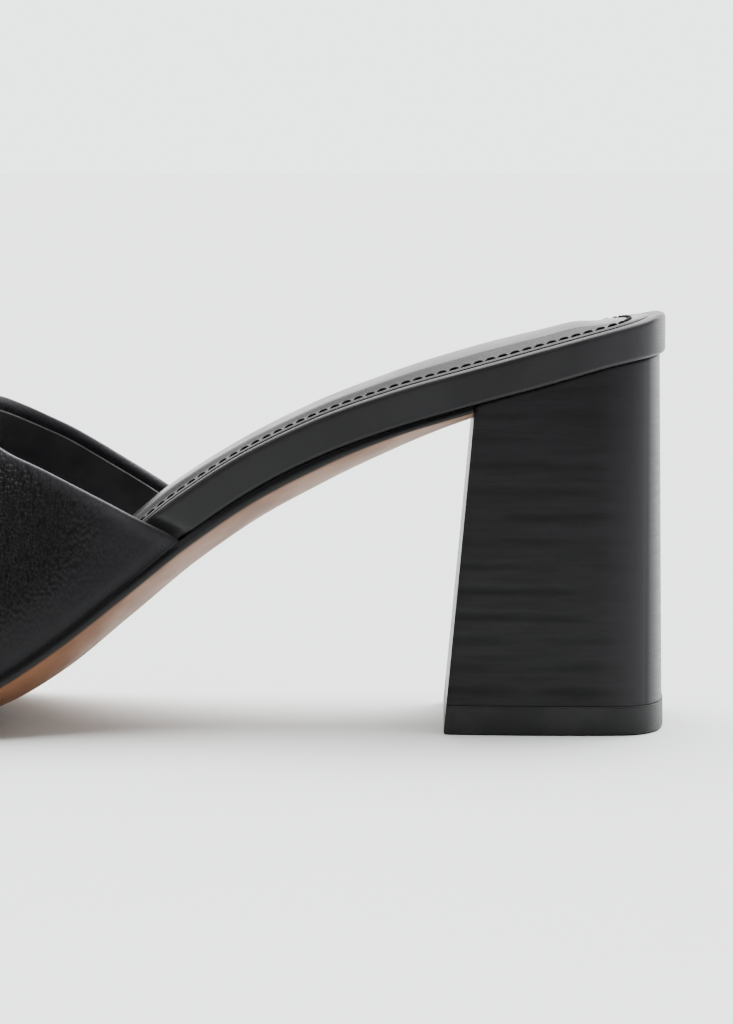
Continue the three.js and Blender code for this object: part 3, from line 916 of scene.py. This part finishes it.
def settle(piece, slot, *nodes):
    """The piece rides on the sandal's one body, and stands for a CAD node if it is given one."""
    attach(piece, BODY)
    if nodes:
        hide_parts(*nodes)


# Radius of the small rounded corners of the sole's edges and of the lift's foot.
CORNER_ROUND = 0.0006
# How far the outsole's edge is drawn in under the footbed, and how far in its dye is looked for.
EDGE_GROOVE = 0.0009
DYE_REACH = 0.012


def build_outsole(last, colours):
    """The outsole, from the breast of the heel to the toe, worn flat under the ball."""
    sizes = last.sizes

    def welt(u):
        return (sizes.vamp_wall + sizes.clearance) * last.read(LAYERS, "welt", u)

    tail = last.breast(last.belly(sizes.breast_top, 0.0, 1.0)) + 0.1 * sizes.clearance
    u, share = last.stations(0.0, float(welt(sizes.footbed_length)), 36, 200)
    ahead = u > tail
    u = np.concatenate([[tail], u[ahead]])
    share = np.concatenate([[1.0], share[ahead]])
    thickness = sizes.outsole_edge

    def drawn_in(level):
        groove = EDGE_GROOVE * soft_step(level, 0.25, 1.0) ** 1.3
        return edge_rounding(level, thickness, CORNER_ROUND, 0.0) + groove

    points, quads, at, y = sole_layer(
        last,
        u,
        share,
        welt,
        round_levels(8),
        drawn_in,
        lambda u, y, fill: np.maximum(last.belly(u, y, fill), 0.0),
        lambda u, y, fill: last.underside(u, y) - sizes.clearance / 3,
        64,
        back_rim=False,
    )
    outer_edge = last.inset(at, y, DYE_REACH) + welt(at)
    edge = last.read(LAYERS, "edge", at) * thickness
    lowered = points[:, 2] < last.underside(at, y) - 0.6 * last.upright(at) * edge
    fields = {"inset": np.where(lowered, outer_edge, 0.0)}
    piece = make_piece("outsole_leather", points, quads, [outsole_material(colours)], fields=fields)
    settle(piece, "outsole", "outsole")


# Depth and reach of the dent that the vamp's rear corners press into the wrap.
PINCH_DEPTH = 0.0011
PINCH_REACH = 0.0026
# Height of the shadowed fold at the wrap's low edge, and where it starts and is full along the foot.
FOLD_HEIGHT = 0.0015
FOLD_START = (0.012, 0.045)


def build_footbed(last, colours):
    """The wrapped board, dented where the vamp is drawn in under it."""
    sizes = last.sizes
    u, share = last.stations(0.0, 0.0, 44, 240)
    points, quads, at, y = sole_layer(
        last,
        u,
        share,
        lambda u: np.zeros_like(u),
        round_levels(22),
        lambda level: edge_rounding(level, sizes.footbed_thickness, CORNER_ROUND, 0.8 * sizes.wrap_round),
        lambda u, y, fill: last.underside(u, y),
        lambda u, y, fill: last.bed_top(u, y),
        48,
    )
    around = np.linspace(0.0, 0.2, 60)
    for side, turn in ((-1, around), (1, 1 - around)):
        along = smooth(THROAT, "around", "along", turn)
        edge = vamp_point(last, along, turn, np.full_like(along, sizes.vamp_wall))
        rear = np.interp(points[:, 2], edge[:, 2], along * sizes.footbed_length)
        behind = np.clip(rear - at, 0, None)
        pinch = PINCH_DEPTH * bell(behind, PINCH_REACH) * (y * side > 0)
        face = soft_step(np.abs(y), 0.8 * last.half_width(at, y), 0.97 * last.half_width(at, y))
        points[:, 1] -= side * pinch * face
    # Painted shade along the wrap's low edge, fading out toward the back.
    low_edge_shade = soft_fall(points[:, 2] - last.underside(at, y), 0.0, FOLD_HEIGHT)
    fields = {"low_edge_shade": low_edge_shade * soft_step(at, *FOLD_START)}
    material = black_leather("wrap_leather", colours.wrap, **WRAP_LOOK, wrapped=True)
    piece = make_piece("footbed_wrap", points, quads, [material], fields=fields)
    settle(piece, "wrap", "footbed")


# Lengths of the sock's forms in metres: the sewn trough, the rise of the padding from it, the
# dome's fall to both ends, how far in its edge is looked for, the lip that rounds the edge, how far
# its top is drawn in, and the stitches' setback at the back. The rest is a share of the clearance,
# and the least crown is a share of the crown.
TROUGH_REACH = 0.0004
TROUGH_DEPTH = 0.00012
PADDING_RISE = (-0.0003, 0.0046)
DOME_END = 0.010
SOCK_REACH = 0.03
LIP_ROUND = (-0.0002, 0.0012)
SIDE_DRAW = 0.0003
REST_SHARE = 0.2
LEAST_CROWN = 0.42
BACK_SETBACK = 0.0011
SETBACK_FADE = (0.005, 0.016)


def stitch_setback(u):
    """The stitches turn a little earlier at the back than the sock's edge does."""
    return BACK_SETBACK * soft_fall(u, *SETBACK_FADE)


def sock_height(last, u, y):
    """Top of the sock: a flat margin, a sewn trough, and a dome of padding inside it."""
    sizes = last.sizes
    edge = last.inset(u, y, SOCK_REACH) - sizes.sock_inset
    inside = edge - sizes.stitch_margin - stitch_setback(u)
    reach = last.half_width(u, y) - sizes.sock_inset - sizes.stitch_margin
    side = 1 - np.clip(np.abs(y) / reach, 0, 1) ** 2
    ends = np.minimum(u, sizes.footbed_length - u) - sizes.sock_inset - sizes.stitch_margin
    end = 1 - (1 - np.clip(ends / DOME_END, 0, 1)) ** 2
    dome = soft_step(inside, *PADDING_RISE) * (0.5 + 0.5 * side * end)
    crown = sizes.sock_crown * np.maximum(last.read(LAYERS, "crown", u), LEAST_CROWN)
    lip = (sizes.sock_edge - TROUGH_DEPTH) * soft_fall(edge, *LIP_ROUND)
    trough = TROUGH_DEPTH * bell(inside, TROUGH_REACH)
    rest = last.bed_top(u, y) + sizes.clearance * REST_SHARE
    return rest + sizes.sock_edge + crown * dome - trough - lip


def build_sock(last, colours):
    """The padded sock and its stitches."""
    sizes = last.sizes
    inset = -sizes.sock_inset
    u, share = last.stations(inset, inset, 48, 300)
    points, quads, _, _ = sole_layer(
        last,
        u,
        share,
        lambda u: np.full_like(u, inset),
        np.array([0.0, 0.5, 0.8, 1.0]),
        lambda level: SIDE_DRAW * (level > 0.9),
        lambda u, y, fill: last.bed_top(u, y) + sizes.clearance * REST_SHARE,
        lambda u, y, fill: sock_height(last, u, y),
        110,
    )
    material = black_leather("sock_leather", colours.sock, **SOCK_LOOK)
    piece = make_piece("sock_cover", points, quads, [material])
    settle(piece, "sock", "sock")
    settle(build_stitches(last, colours), "sock")


def closed_outline(last, out, end_steps=60, middle_steps=400):
    """U and Y of a plan's edge, once round, from the back's middle by the inner side."""
    u, share = last.stations(out, out, end_steps, middle_steps)
    inner, _ = last.plan_place(u, share, np.full_like(u, -1.0), out)
    outer, _ = last.plan_place(u, share, np.full_like(u, 1.0), out)
    return np.concatenate([u, u[::-1]]), np.concatenate([inner, outer[::-1]])


# A stitch's thread in metres, the share of the pitch that half of it takes, and its mesh's counts.
THREAD_RADIUS = 0.00036
THREAD_LIFT = 0.00036
THREAD_SINK = 0.00004
THREAD_SLANT = 0.0001
THREAD_AHEAD = 0.0002
STITCH_HALF = 0.45
STITCH_RINGS = 9
STITCH_SIDES = 8


def thread_ring(line_at, centre, t, half):
    """Points of one ring of a stitch, t from -1 to 1 along it."""
    here = line_at(centre + t * half)
    forward = line_at(centre + t * half + THREAD_AHEAD) - here
    forward /= np.linalg.norm(forward)
    aside = np.cross(forward, (0.0, 0.0, 1.0))
    aside /= np.linalg.norm(aside)
    lift = THREAD_LIFT * (1 - t**4) - THREAD_SINK
    width = THREAD_RADIUS * math.sqrt(max(1 - (0.92 * t) ** 2, 0.02))
    ring = []
    for turn in np.arange(STITCH_SIDES) * (2 * math.pi / STITCH_SIDES):
        rise = 0.8 * width * math.sin(turn) + lift
        ring.append(here + aside * (width * math.cos(turn) + THREAD_SLANT * t) + (0, 0, rise))
    return ring


def build_stitches(last, colours):
    """One mesh of thread loops, each dipping into the sock at both ends."""
    sizes = last.sizes
    u, y = closed_outline(last, -(sizes.sock_inset + sizes.stitch_margin))
    u = u + stitch_setback(u)
    line = np.stack([last.to_x(u), y, sock_height(last, u, y)], 1)
    closed = np.vstack([line, line[:1]])
    run = np.concatenate([[0.0], np.cumsum(np.linalg.norm(np.diff(closed, axis=0), axis=1))])
    count = round(run[-1] / sizes.stitch_pitch)

    def line_at(place):
        return np.array([np.interp(place % run[-1], run, closed[:, axis]) for axis in range(3)])

    points = []
    quads = []
    for n in range(count):
        centre = (n + 0.5) * run[-1] / count
        first = len(points)
        for t in np.linspace(-1, 1, STITCH_RINGS):
            points += thread_ring(line_at, centre, t, STITCH_HALF * sizes.stitch_pitch)
        for low in range(first, len(points) - STITCH_SIDES, STITCH_SIDES):
            high = low + STITCH_SIDES
            for a in range(STITCH_SIDES):
                b = (a + 1) % STITCH_SIDES
                quads.append((low + a, low + b, high + b, high + a))
        quads.append(tuple(range(first + STITCH_SIDES - 1, first - 1, -1)))
        quads.append(tuple(range(len(points) - STITCH_SIDES, len(points))))
    mesh = bpy.data.meshes.new("sock_stitches")
    mesh.from_pydata([tuple(point) for point in points], [], quads)
    mesh.materials.append(plain_stuff("sock_thread", colours.thread, 0.75, 0.1, 4000.0, 0.00003))
    mesh.polygons.foreach_set("use_smooth", [True] * len(mesh.polygons))
    piece = bpy.data.objects.new("sock_stitches", mesh)
    bpy.context.scene.collection.objects.link(piece)
    return piece


# Soft troughs and ridges of the vamp, where a pull or a flex has set. Along and around place the
# middle, length and width are half sizes, turn is the direction in degrees from the foot's length,
# and depth is inward.
CREASES = table(
    "along around length width turn depth",
    (0.53, 0.075, 0.022, 0.0050, 40, 0.00016),
    (0.58, 0.13, 0.026, 0.0065, 28, 0.00022),
    (0.64, 0.08, 0.024, 0.0060, 20, -0.00014),
    (0.54, 0.92, 0.022, 0.0050, -40, 0.00018),
    (0.60, 0.86, 0.026, 0.0065, -28, 0.00020),
    (0.735, 0.34, 0.020, 0.0040, 80, 0.00030),
    (0.755, 0.62, 0.022, 0.0040, -78, 0.00028),
    (0.765, 0.47, 0.018, 0.0045, 90, -0.00018),
    (0.715, 0.50, 0.018, 0.0050, 90, 0.00022),
)
# The vamp's girth as a share of the ball's width times pi.
GIRTH_SHARE = 0.62


def crease_depth(last, along, around):
    """Depth of the vamp's set creases at a place."""
    length = last.sizes.footbed_length
    girth = GIRTH_SHARE * last.sizes.ball_width * math.pi
    total = np.zeros_like(along)
    for row in zip(*CREASES.values()):
        crease = dict(zip(CREASES, row))
        a = (along - crease["along"]) * length
        b = (around - crease["around"]) * girth
        turn = math.radians(crease["turn"])
        run = a * math.cos(turn) + b * math.sin(turn)
        off = b * math.cos(turn) - a * math.sin(turn)
        total += crease["depth"] * bell(run, crease["length"]) * bell(off, crease["width"])
    return total


def vamp_point(last, along, around, depth):
    """Place on the vamp; depth is a length from its lining's inner face outward."""
    sizes = last.sizes
    u = along * sizes.footbed_length
    turn = math.pi * around
    power = smooth(VAMP_SECTIONS, "along", "square", along)
    inner = last.half_width(u, -np.ones_like(u)) + sizes.clearance + depth
    outer = last.half_width(u, np.ones_like(u)) + sizes.clearance + depth
    ridge_y = -smooth(VAMP_SECTIONS, "along", "lean", along) * inner
    cos = np.cos(turn)
    sweep = np.sign(cos) * np.abs(cos) ** (2 / power)
    rise = np.abs(np.sin(turn)) ** (2 / power)
    y = np.where(sweep > 0, ridge_y - sweep * (inner + ridge_y), ridge_y - sweep * (outer - ridge_y))
    feather = last.underside(u, y)
    ridge = sizes.instep_height * smooth(VAMP_SECTIONS, "along", "ridge", along) - sizes.vamp_wall + depth
    z = feather + rise * (ridge - feather)
    return np.stack([last.to_x(u), y, z], -1)


def vamp_sheet(last, counts, low, high, hem, edge_in):
    """Lattice of a sheet of the vamp between two depths, drawn back from the band's edges."""
    (i, j, k), quads, sides = block_surface(counts)
    band = round_levels(counts[0])[i]
    around = j / counts[1]
    level = round_levels(counts[2])[k]
    back = (hem + edge_in(level, around)) / last.sizes.footbed_length
    throat = smooth(THROAT, "around", "along", around) + back
    mouth = smooth(MOUTH, "around", "along", around) - back
    return quads, sides, mouth + (throat - mouth) * band, around, low + level * (high - low)


# The vamp's rolled edges: how far the roll stands out, its reach and the share of the wall where
# it turns inward, on the inner side and on the outer one.
ROLL_HEIGHT = 0.00035
ROLL_REACH = 0.002
SMOOTH_REACH = 0.0019
ROLL_APEX = (0.30, 0.64)
# Where the creases start and are full, from an edge.
CREASE_START = (0.003, 0.010)
# Shares of the foot's length and of the girth over which the leather goes from pulled smooth to
# grained, and shares of the girth over which the rolled edge is tucked under.
GRAIN_ALONG = (0.485, 0.575)
GRAIN_GIRTH = (0.01, 0.09)
TUCKED_GIRTH = (0.03, 0.085)
# Steps from edge to edge, round the foot and through the wall.
VAMP_STEPS = (150, 190, 16)
LINING_STEPS = (120, 150, 3)
# How far the outer face is tucked in at the feather line, and the reach of the tuck and its drop.
TUCK_DEPTH = 0.0011
TUCK_REACH = 0.0016
DROP_REACH = 0.002
# Bevel of the lining's cut edge, and the air between it and the leather.
LINING_BEVEL = 0.0001
LINING_AIR = 0.00001


def build_vamp(last, colours):
    """The vamp's outer leather with its turned edges, and the lining inside it."""
    sizes = last.sizes
    low, high = sizes.lining * 0.7, sizes.vamp_wall

    def rolled(level, around):
        inner, outer = ROLL_APEX
        apex = inner + (outer - inner) * soft_step(around, 0.4, 0.62)
        above = level > apex
        reach = np.where(above, 1 - apex, apex)
        return (high - low) * reach * round_off(np.abs(level - apex) / reach)

    quads, _, along, around, depth = vamp_sheet(last, VAMP_STEPS, low, high, 0.0, rolled)
    outside = (depth - low) / (high - low)
    girth = np.minimum(around, 1 - around)
    throat = smooth(THROAT, "around", "along", around)
    mouth = smooth(MOUTH, "around", "along", around)
    edge = np.minimum(along - throat, mouth - along) * sizes.footbed_length
    roll = ROLL_HEIGHT * bell(edge, ROLL_REACH)
    away = soft_step(edge, *CREASE_START)
    relief = outside * (roll - away * crease_depth(last, along, around))
    points = vamp_point(last, along, around, depth + relief)
    feather = girth * math.pi * 0.5 * sizes.ball_width
    tuck = TUCK_DEPTH * round_off(np.clip(1 - feather / TUCK_REACH, 0, 1))
    points[:, 1] -= np.sign(points[:, 1]) * tuck * outside
    points[:, 2] -= sizes.clearance * 0.8 * np.clip(1 - feather / DROP_REACH, 0, 1)
    pulled = 1 - soft_step(along, *GRAIN_ALONG) * soft_step(girth, *GRAIN_GIRTH)
    pulled = np.maximum(pulled, np.maximum(bell(edge, SMOOTH_REACH), 0.8 * (outside < 0.5)))
    tucked = soft_fall(girth, *TUCKED_GIRTH) * bell(edge, ROLL_REACH)
    # The smooth field also paints those parts lighter as a painted reflection; the edge field gives the
    # coat and a painted highlight; the inner-face field is painted light on the leather's inner face.
    fields = {
        "smooth_and_painted_reflection": pulled,
        "tucked": tucked,
        "polish_and_highlight": bell(edge, ROLL_REACH) * (1 - tucked),
        "inner_face_painted_light": soft_fall(outside, 0.1, 0.45),
    }
    leather = make_piece("vamp_leather", points, quads, [vamp_leather_material(colours)], fields=fields)
    settle(leather, "vamp", "vamp")

    def bevelled(level, around):
        return LINING_BEVEL * (1 - level)

    quads, sides, along, around, depth = vamp_sheet(
        last, LINING_STEPS, 0.0, low - LINING_AIR, sizes.hem, bevelled
    )
    materials = [
        plain_stuff("lining_leather", colours.lining, 0.42, 0.5, 1500.0, 0.00002),
        plain_stuff("lining_cut_edge", colours.raw_edge, 0.7, 0.3, 3000.0, 0.00002),
    ]
    cut = np.isin(sides, ("i0", "i1")).astype(int)
    points = vamp_point(last, along, around, depth)
    settle(make_piece("vamp_lining", points, quads, materials, slots=cut), "vamp")


# Steps of the heel's rounded back, of its sides and across it.
HEEL_STEPS = (36, 30, 36)
# Rounding of the corners between the heel's sides and its breast, of the lift's top and of the
# block's top, and the gap between block and lift.
BREAST_CORNER = 0.0005
LIFT_TOP_ROUND = 0.00012
BLOCK_TOP_DRAW = 0.00025
LIFT_GAP = 0.00002


def heel_layer(last, out, bottom, top, levels, drawn_in):
    """Points and quads of the heel block or of its lift."""
    end_steps, middle_steps, across = HEEL_STEPS
    sizes = last.sizes
    (i, j, k), quads, _ = block_surface((end_steps + middle_steps, across, len(levels) - 1))
    level = levels[k]
    draw = drawn_in(level)
    length = sizes.back_round + out
    turn = np.linspace(END_TURN, math.pi / 2, end_steps, endpoint=False)
    back = length * (1 - np.cos(turn) ** (2 / BACK_POWER)) - out
    share = np.concatenate([np.sin(turn) ** (2 / BACK_POWER), np.ones(middle_steps + 1)])[i]
    side = spread(j, across)
    height = bottom + level * (top(np.full_like(level, sizes.breast_top), 0.0 * level) - bottom)
    along = np.clip((i - end_steps) / middle_steps, 0, None)
    ease = np.sin(along * math.pi / 2)
    front = last.breast(height) - draw
    straight = sizes.back_round + (front - sizes.back_round) * ease
    start = np.concatenate([back, np.zeros(middle_steps + 1)])[i]
    middle = sizes.breast_foot / 2
    rounded = start + draw * np.clip((middle - start) / middle, 0, 1)
    at = np.where(i < end_steps, rounded, straight)
    flared = sizes.back_inset - sizes.heel_inset - sizes.back_flare * (1 - height / sizes.heel_height)
    at = at + flared * (1 - at / last.breast(height))
    y, _ = last.plan_place(at, share, side, out - draw)
    corner = BREAST_CORNER * soft_step(ease, 0.97, 1.0)
    y = y * (1 - corner / np.maximum(last.half_width(at, y), 1e-4))
    z = bottom + level * (top(at, y) - bottom)
    return np.stack([last.to_x(at), y, z], 1), quads


def build_heel(last, colours):
    """The stacked block under the seat, and the rubber lift that it stands on."""
    sizes = last.sizes
    points, quads = heel_layer(
        last,
        -sizes.heel_inset,
        sizes.lift_thickness + LIFT_GAP,
        lambda u, y: last.underside(u, y) - sizes.clearance / 3,
        np.concatenate([[0.0, 0.004], np.linspace(0.01, 0.99, 40), [0.996, 1.0]]),
        lambda level: BLOCK_TOP_DRAW * (level > 0.999),
    )
    block = make_piece("heel_stack", points, quads, [stack_material(colours, sizes.heel_layer)])
    settle(block, "heel", "heel_block")
    points, quads = heel_layer(
        last,
        0.6 * sizes.lift_lip - sizes.heel_inset,
        0.0,
        lambda u, y: np.full_like(u, sizes.lift_thickness),
        round_levels(12),
        lambda level: edge_rounding(level, sizes.lift_thickness, CORNER_ROUND, LIFT_TOP_ROUND),
    )
    rubber = plain_stuff("lift_rubber", colours.rubber, 0.45, 0.2, 1800.0, 0.00002)
    settle(make_piece("lift_rubber", points, quads, [rubber]), "lift", "top_lift")


# Stage


# Colour of the light that the room gives off; the camera sees the backdrop's colour instead.
ROOM_COLOUR = (0.95, 0.945, 0.96, 1.0)
# Directions, as parts of a unit length, over which the room's bright wall fades: upward, from its
# middle toward the camera, and beside the shoe, where it is as bright as the share says.
WALL_FADE_UP = (0.4, 0.8)
WALL_FADE_BEHIND = (0.38, 0.6)
WALL_FADE_ASIDE = (0.5, 0.9)
WALL_FADE_FRONT = (0.1, 0.36)
ASIDE_SHARE = 0.22
# Toward the lamp: above, a little behind the shoe and past its heel.
LAMP_TOWARD = (0.12, 0.32, 1.0)
# The floor's half width and its edge in front of the shoe, and the camera's near and far limits.
FLOOR_REACH = 12.0
FLOOR_FRONT = -0.42
CLIP_NEAR = 0.01
CLIP_FAR = 20.0


def build_world(stage, colours):
    """A pale room: bright behind and beside the shoe, dim over it and on the camera's side."""
    world = bpy.data.worlds.new("studio_room")
    world.use_nodes = True
    bpy.context.scene.world = world
    nodes = Nodes(world.node_tree)
    out = nodes.add("ShaderNodeOutputWorld")
    seen = nodes.add("ShaderNodeBackground")
    seen.inputs["Color"].default_value = tint(colours.backdrop)
    seen.inputs["Strength"].default_value = stage.backdrop_strength
    lit = nodes.add("ShaderNodeBackground")
    toward = axis_places(nodes, nodes.add("ShaderNodeTexCoord").outputs["Generated"])
    low = nodes.ramp(toward["Z"], *WALL_FADE_UP, 1.0, 0.0)
    behind = nodes.times(nodes.ramp(toward["Y"], *WALL_FADE_BEHIND), low)
    aside = nodes.ramp(nodes.math("ABSOLUTE", toward["X"]), *WALL_FADE_ASIDE, 0.0, ASIDE_SHARE)
    aside = nodes.times(aside, nodes.ramp(toward["Y"], *WALL_FADE_FRONT, 1.0, 0.0))
    bright = nodes.math("MAXIMUM", behind, nodes.times(aside, low))
    light = nodes.ramp(bright, 0.0, 1.0, stage.room_dim, stage.backdrop_strength)
    lit.inputs["Color"].default_value = ROOM_COLOUR
    nodes.link(light, lit.inputs["Strength"])
    choose = nodes.add("ShaderNodeMixShader")
    nodes.link(nodes.add("ShaderNodeLightPath").outputs["Is Camera Ray"], choose.inputs[0])
    nodes.link(lit.outputs[0], choose.inputs[1])
    nodes.link(seen.outputs[0], choose.inputs[2])
    nodes.link(choose.outputs[0], out.inputs["Surface"])


def add_overhead(stage):
    """One broad soft light from above, a little behind the shoe."""
    lamp = bpy.data.lights.new("overhead_box", "SUN")
    lamp.energy = stage.overhead_power
    lamp.angle = stage.overhead_spread
    holder = bpy.data.objects.new("overhead_box", lamp)
    holder.rotation_euler = Vector(LAMP_TOWARD).to_track_quat("Z", "Y").to_euler()
    bpy.context.scene.collection.objects.link(holder)


def build_stage(last, stage, colours):
    """Floor, room, lamp and the photograph's camera."""
    mesh = bpy.data.meshes.new("studio_floor")
    left, right = -FLOOR_REACH, FLOOR_REACH
    corners = [(left, FLOOR_FRONT), (right, FLOOR_FRONT), (right, FLOOR_REACH), (left, FLOOR_REACH)]
    mesh.from_pydata([(x, y, 0.0) for x, y in corners], [], [(0, 1, 2, 3)])
    mesh.materials.append(floor_material(colours))
    floor = bpy.data.objects.new("studio_floor", mesh)
    bpy.context.scene.collection.objects.link(floor)
    build_world(stage, colours)
    add_overhead(stage)
    camera = bpy.data.cameras.new("photo_camera")
    camera.sensor_fit = "AUTO"
    camera.sensor_width = stage.sensor_size
    camera.lens = stage.focal_length
    camera.clip_start = CLIP_NEAR
    camera.clip_end = CLIP_FAR
    holder = bpy.data.objects.new("photo_camera", camera)
    holder.location = (last.to_x(stage.camera_ahead), -stage.camera_away, stage.camera_height)
    holder.rotation_euler = (math.pi / 2 - stage.pitch, 0.0, stage.yaw)
    bpy.context.scene.collection.objects.link(holder)
    bpy.context.scene.camera = holder


# Operators and panel


class PieceBuilder:
    """What the operators of the pieces share: each runs its builder on the scene's settings."""

    def execute(self, context):
        scene = context.scene
        self.build(Last(scene.sandal_sizes), scene.sandal_colours)
        return {"FINISHED"}


class SANDAL_OT_outsole(PieceBuilder, bpy.types.Operator):
    """Builds the tan leather outsole with its dyed edge"""

    bl_idname = "sandal.outsole"
    bl_label = "Outsole"
    build = staticmethod(build_outsole)


class SANDAL_OT_footbed(PieceBuilder, bpy.types.Operator):
    """Builds the footbed in its black leather wrap"""

    bl_idname = "sandal.footbed"
    bl_label = "Footbed"
    build = staticmethod(build_footbed)


class SANDAL_OT_sock(PieceBuilder, bpy.types.Operator):
    """Builds the padded sock and its stitches"""

    bl_idname = "sandal.sock"
    bl_label = "Sock"
    build = staticmethod(build_sock)


class SANDAL_OT_vamp(PieceBuilder, bpy.types.Operator):
    """Builds the vamp's leather and its lining"""

    bl_idname = "sandal.vamp"
    bl_label = "Vamp"
    build = staticmethod(build_vamp)


class SANDAL_OT_heel(PieceBuilder, bpy.types.Operator):
    """Builds the stacked heel and its top lift"""

    bl_idname = "sandal.heel"
    bl_label = "Heel"
    build = staticmethod(build_heel)


class SANDAL_OT_stage(bpy.types.Operator):
    """Builds the studio floor, its lamp and the camera"""

    bl_idname = "sandal.stage"
    bl_label = "Stage"

    def execute(self, context):
        scene = context.scene
        build_stage(Last(scene.sandal_sizes), scene.sandal_stage, scene.sandal_colours)
        return {"FINISHED"}


PIECE_OPERATORS = (
    SANDAL_OT_stage,
    SANDAL_OT_outsole,
    SANDAL_OT_footbed,
    SANDAL_OT_sock,
    SANDAL_OT_vamp,
    SANDAL_OT_heel,
)


class SANDAL_PT_panel(bpy.types.Panel):
    """Lists the sandal's sizes, colours and pieces"""

    bl_label = "Block heel sandal"
    bl_idname = "SANDAL_PT_panel"
    bl_space_type = "VIEW_3D"
    bl_region_type = "UI"
    bl_category = "Sandal"

    def draw(self, context):
        for group in (context.scene.sandal_sizes, context.scene.sandal_colours, context.scene.sandal_stage):
            box = self.layout.box()
            for name in group.bl_rna.properties.keys():
                if name not in ("rna_type", "name"):
                    box.prop(group, name)
        for operator in PIECE_OPERATORS:
            self.layout.operator(operator.bl_idname)


CLASSES = (SandalSizes, SandalColours, SandalStage, *PIECE_OPERATORS, SANDAL_PT_panel)


def register():
    for cls in CLASSES:
        bpy.utils.register_class(cls)
    bpy.types.Scene.sandal_sizes = bpy.props.PointerProperty(type=SandalSizes)
    bpy.types.Scene.sandal_colours = bpy.props.PointerProperty(type=SandalColours)
    bpy.types.Scene.sandal_stage = bpy.props.PointerProperty(type=SandalStage)


def unregister():
    del bpy.types.Scene.sandal_stage
    del bpy.types.Scene.sandal_colours
    del bpy.types.Scene.sandal_sizes
    for cls in reversed(CLASSES):
        bpy.utils.unregister_class(cls)


def main():
    register()
    bpy.ops.sandal.stage()
    bpy.ops.sandal.outsole()
    bpy.ops.sandal.footbed()
    bpy.ops.sandal.sock()
    bpy.ops.sandal.vamp()
    bpy.ops.sandal.heel()


if __name__ == "__main__":
    main()
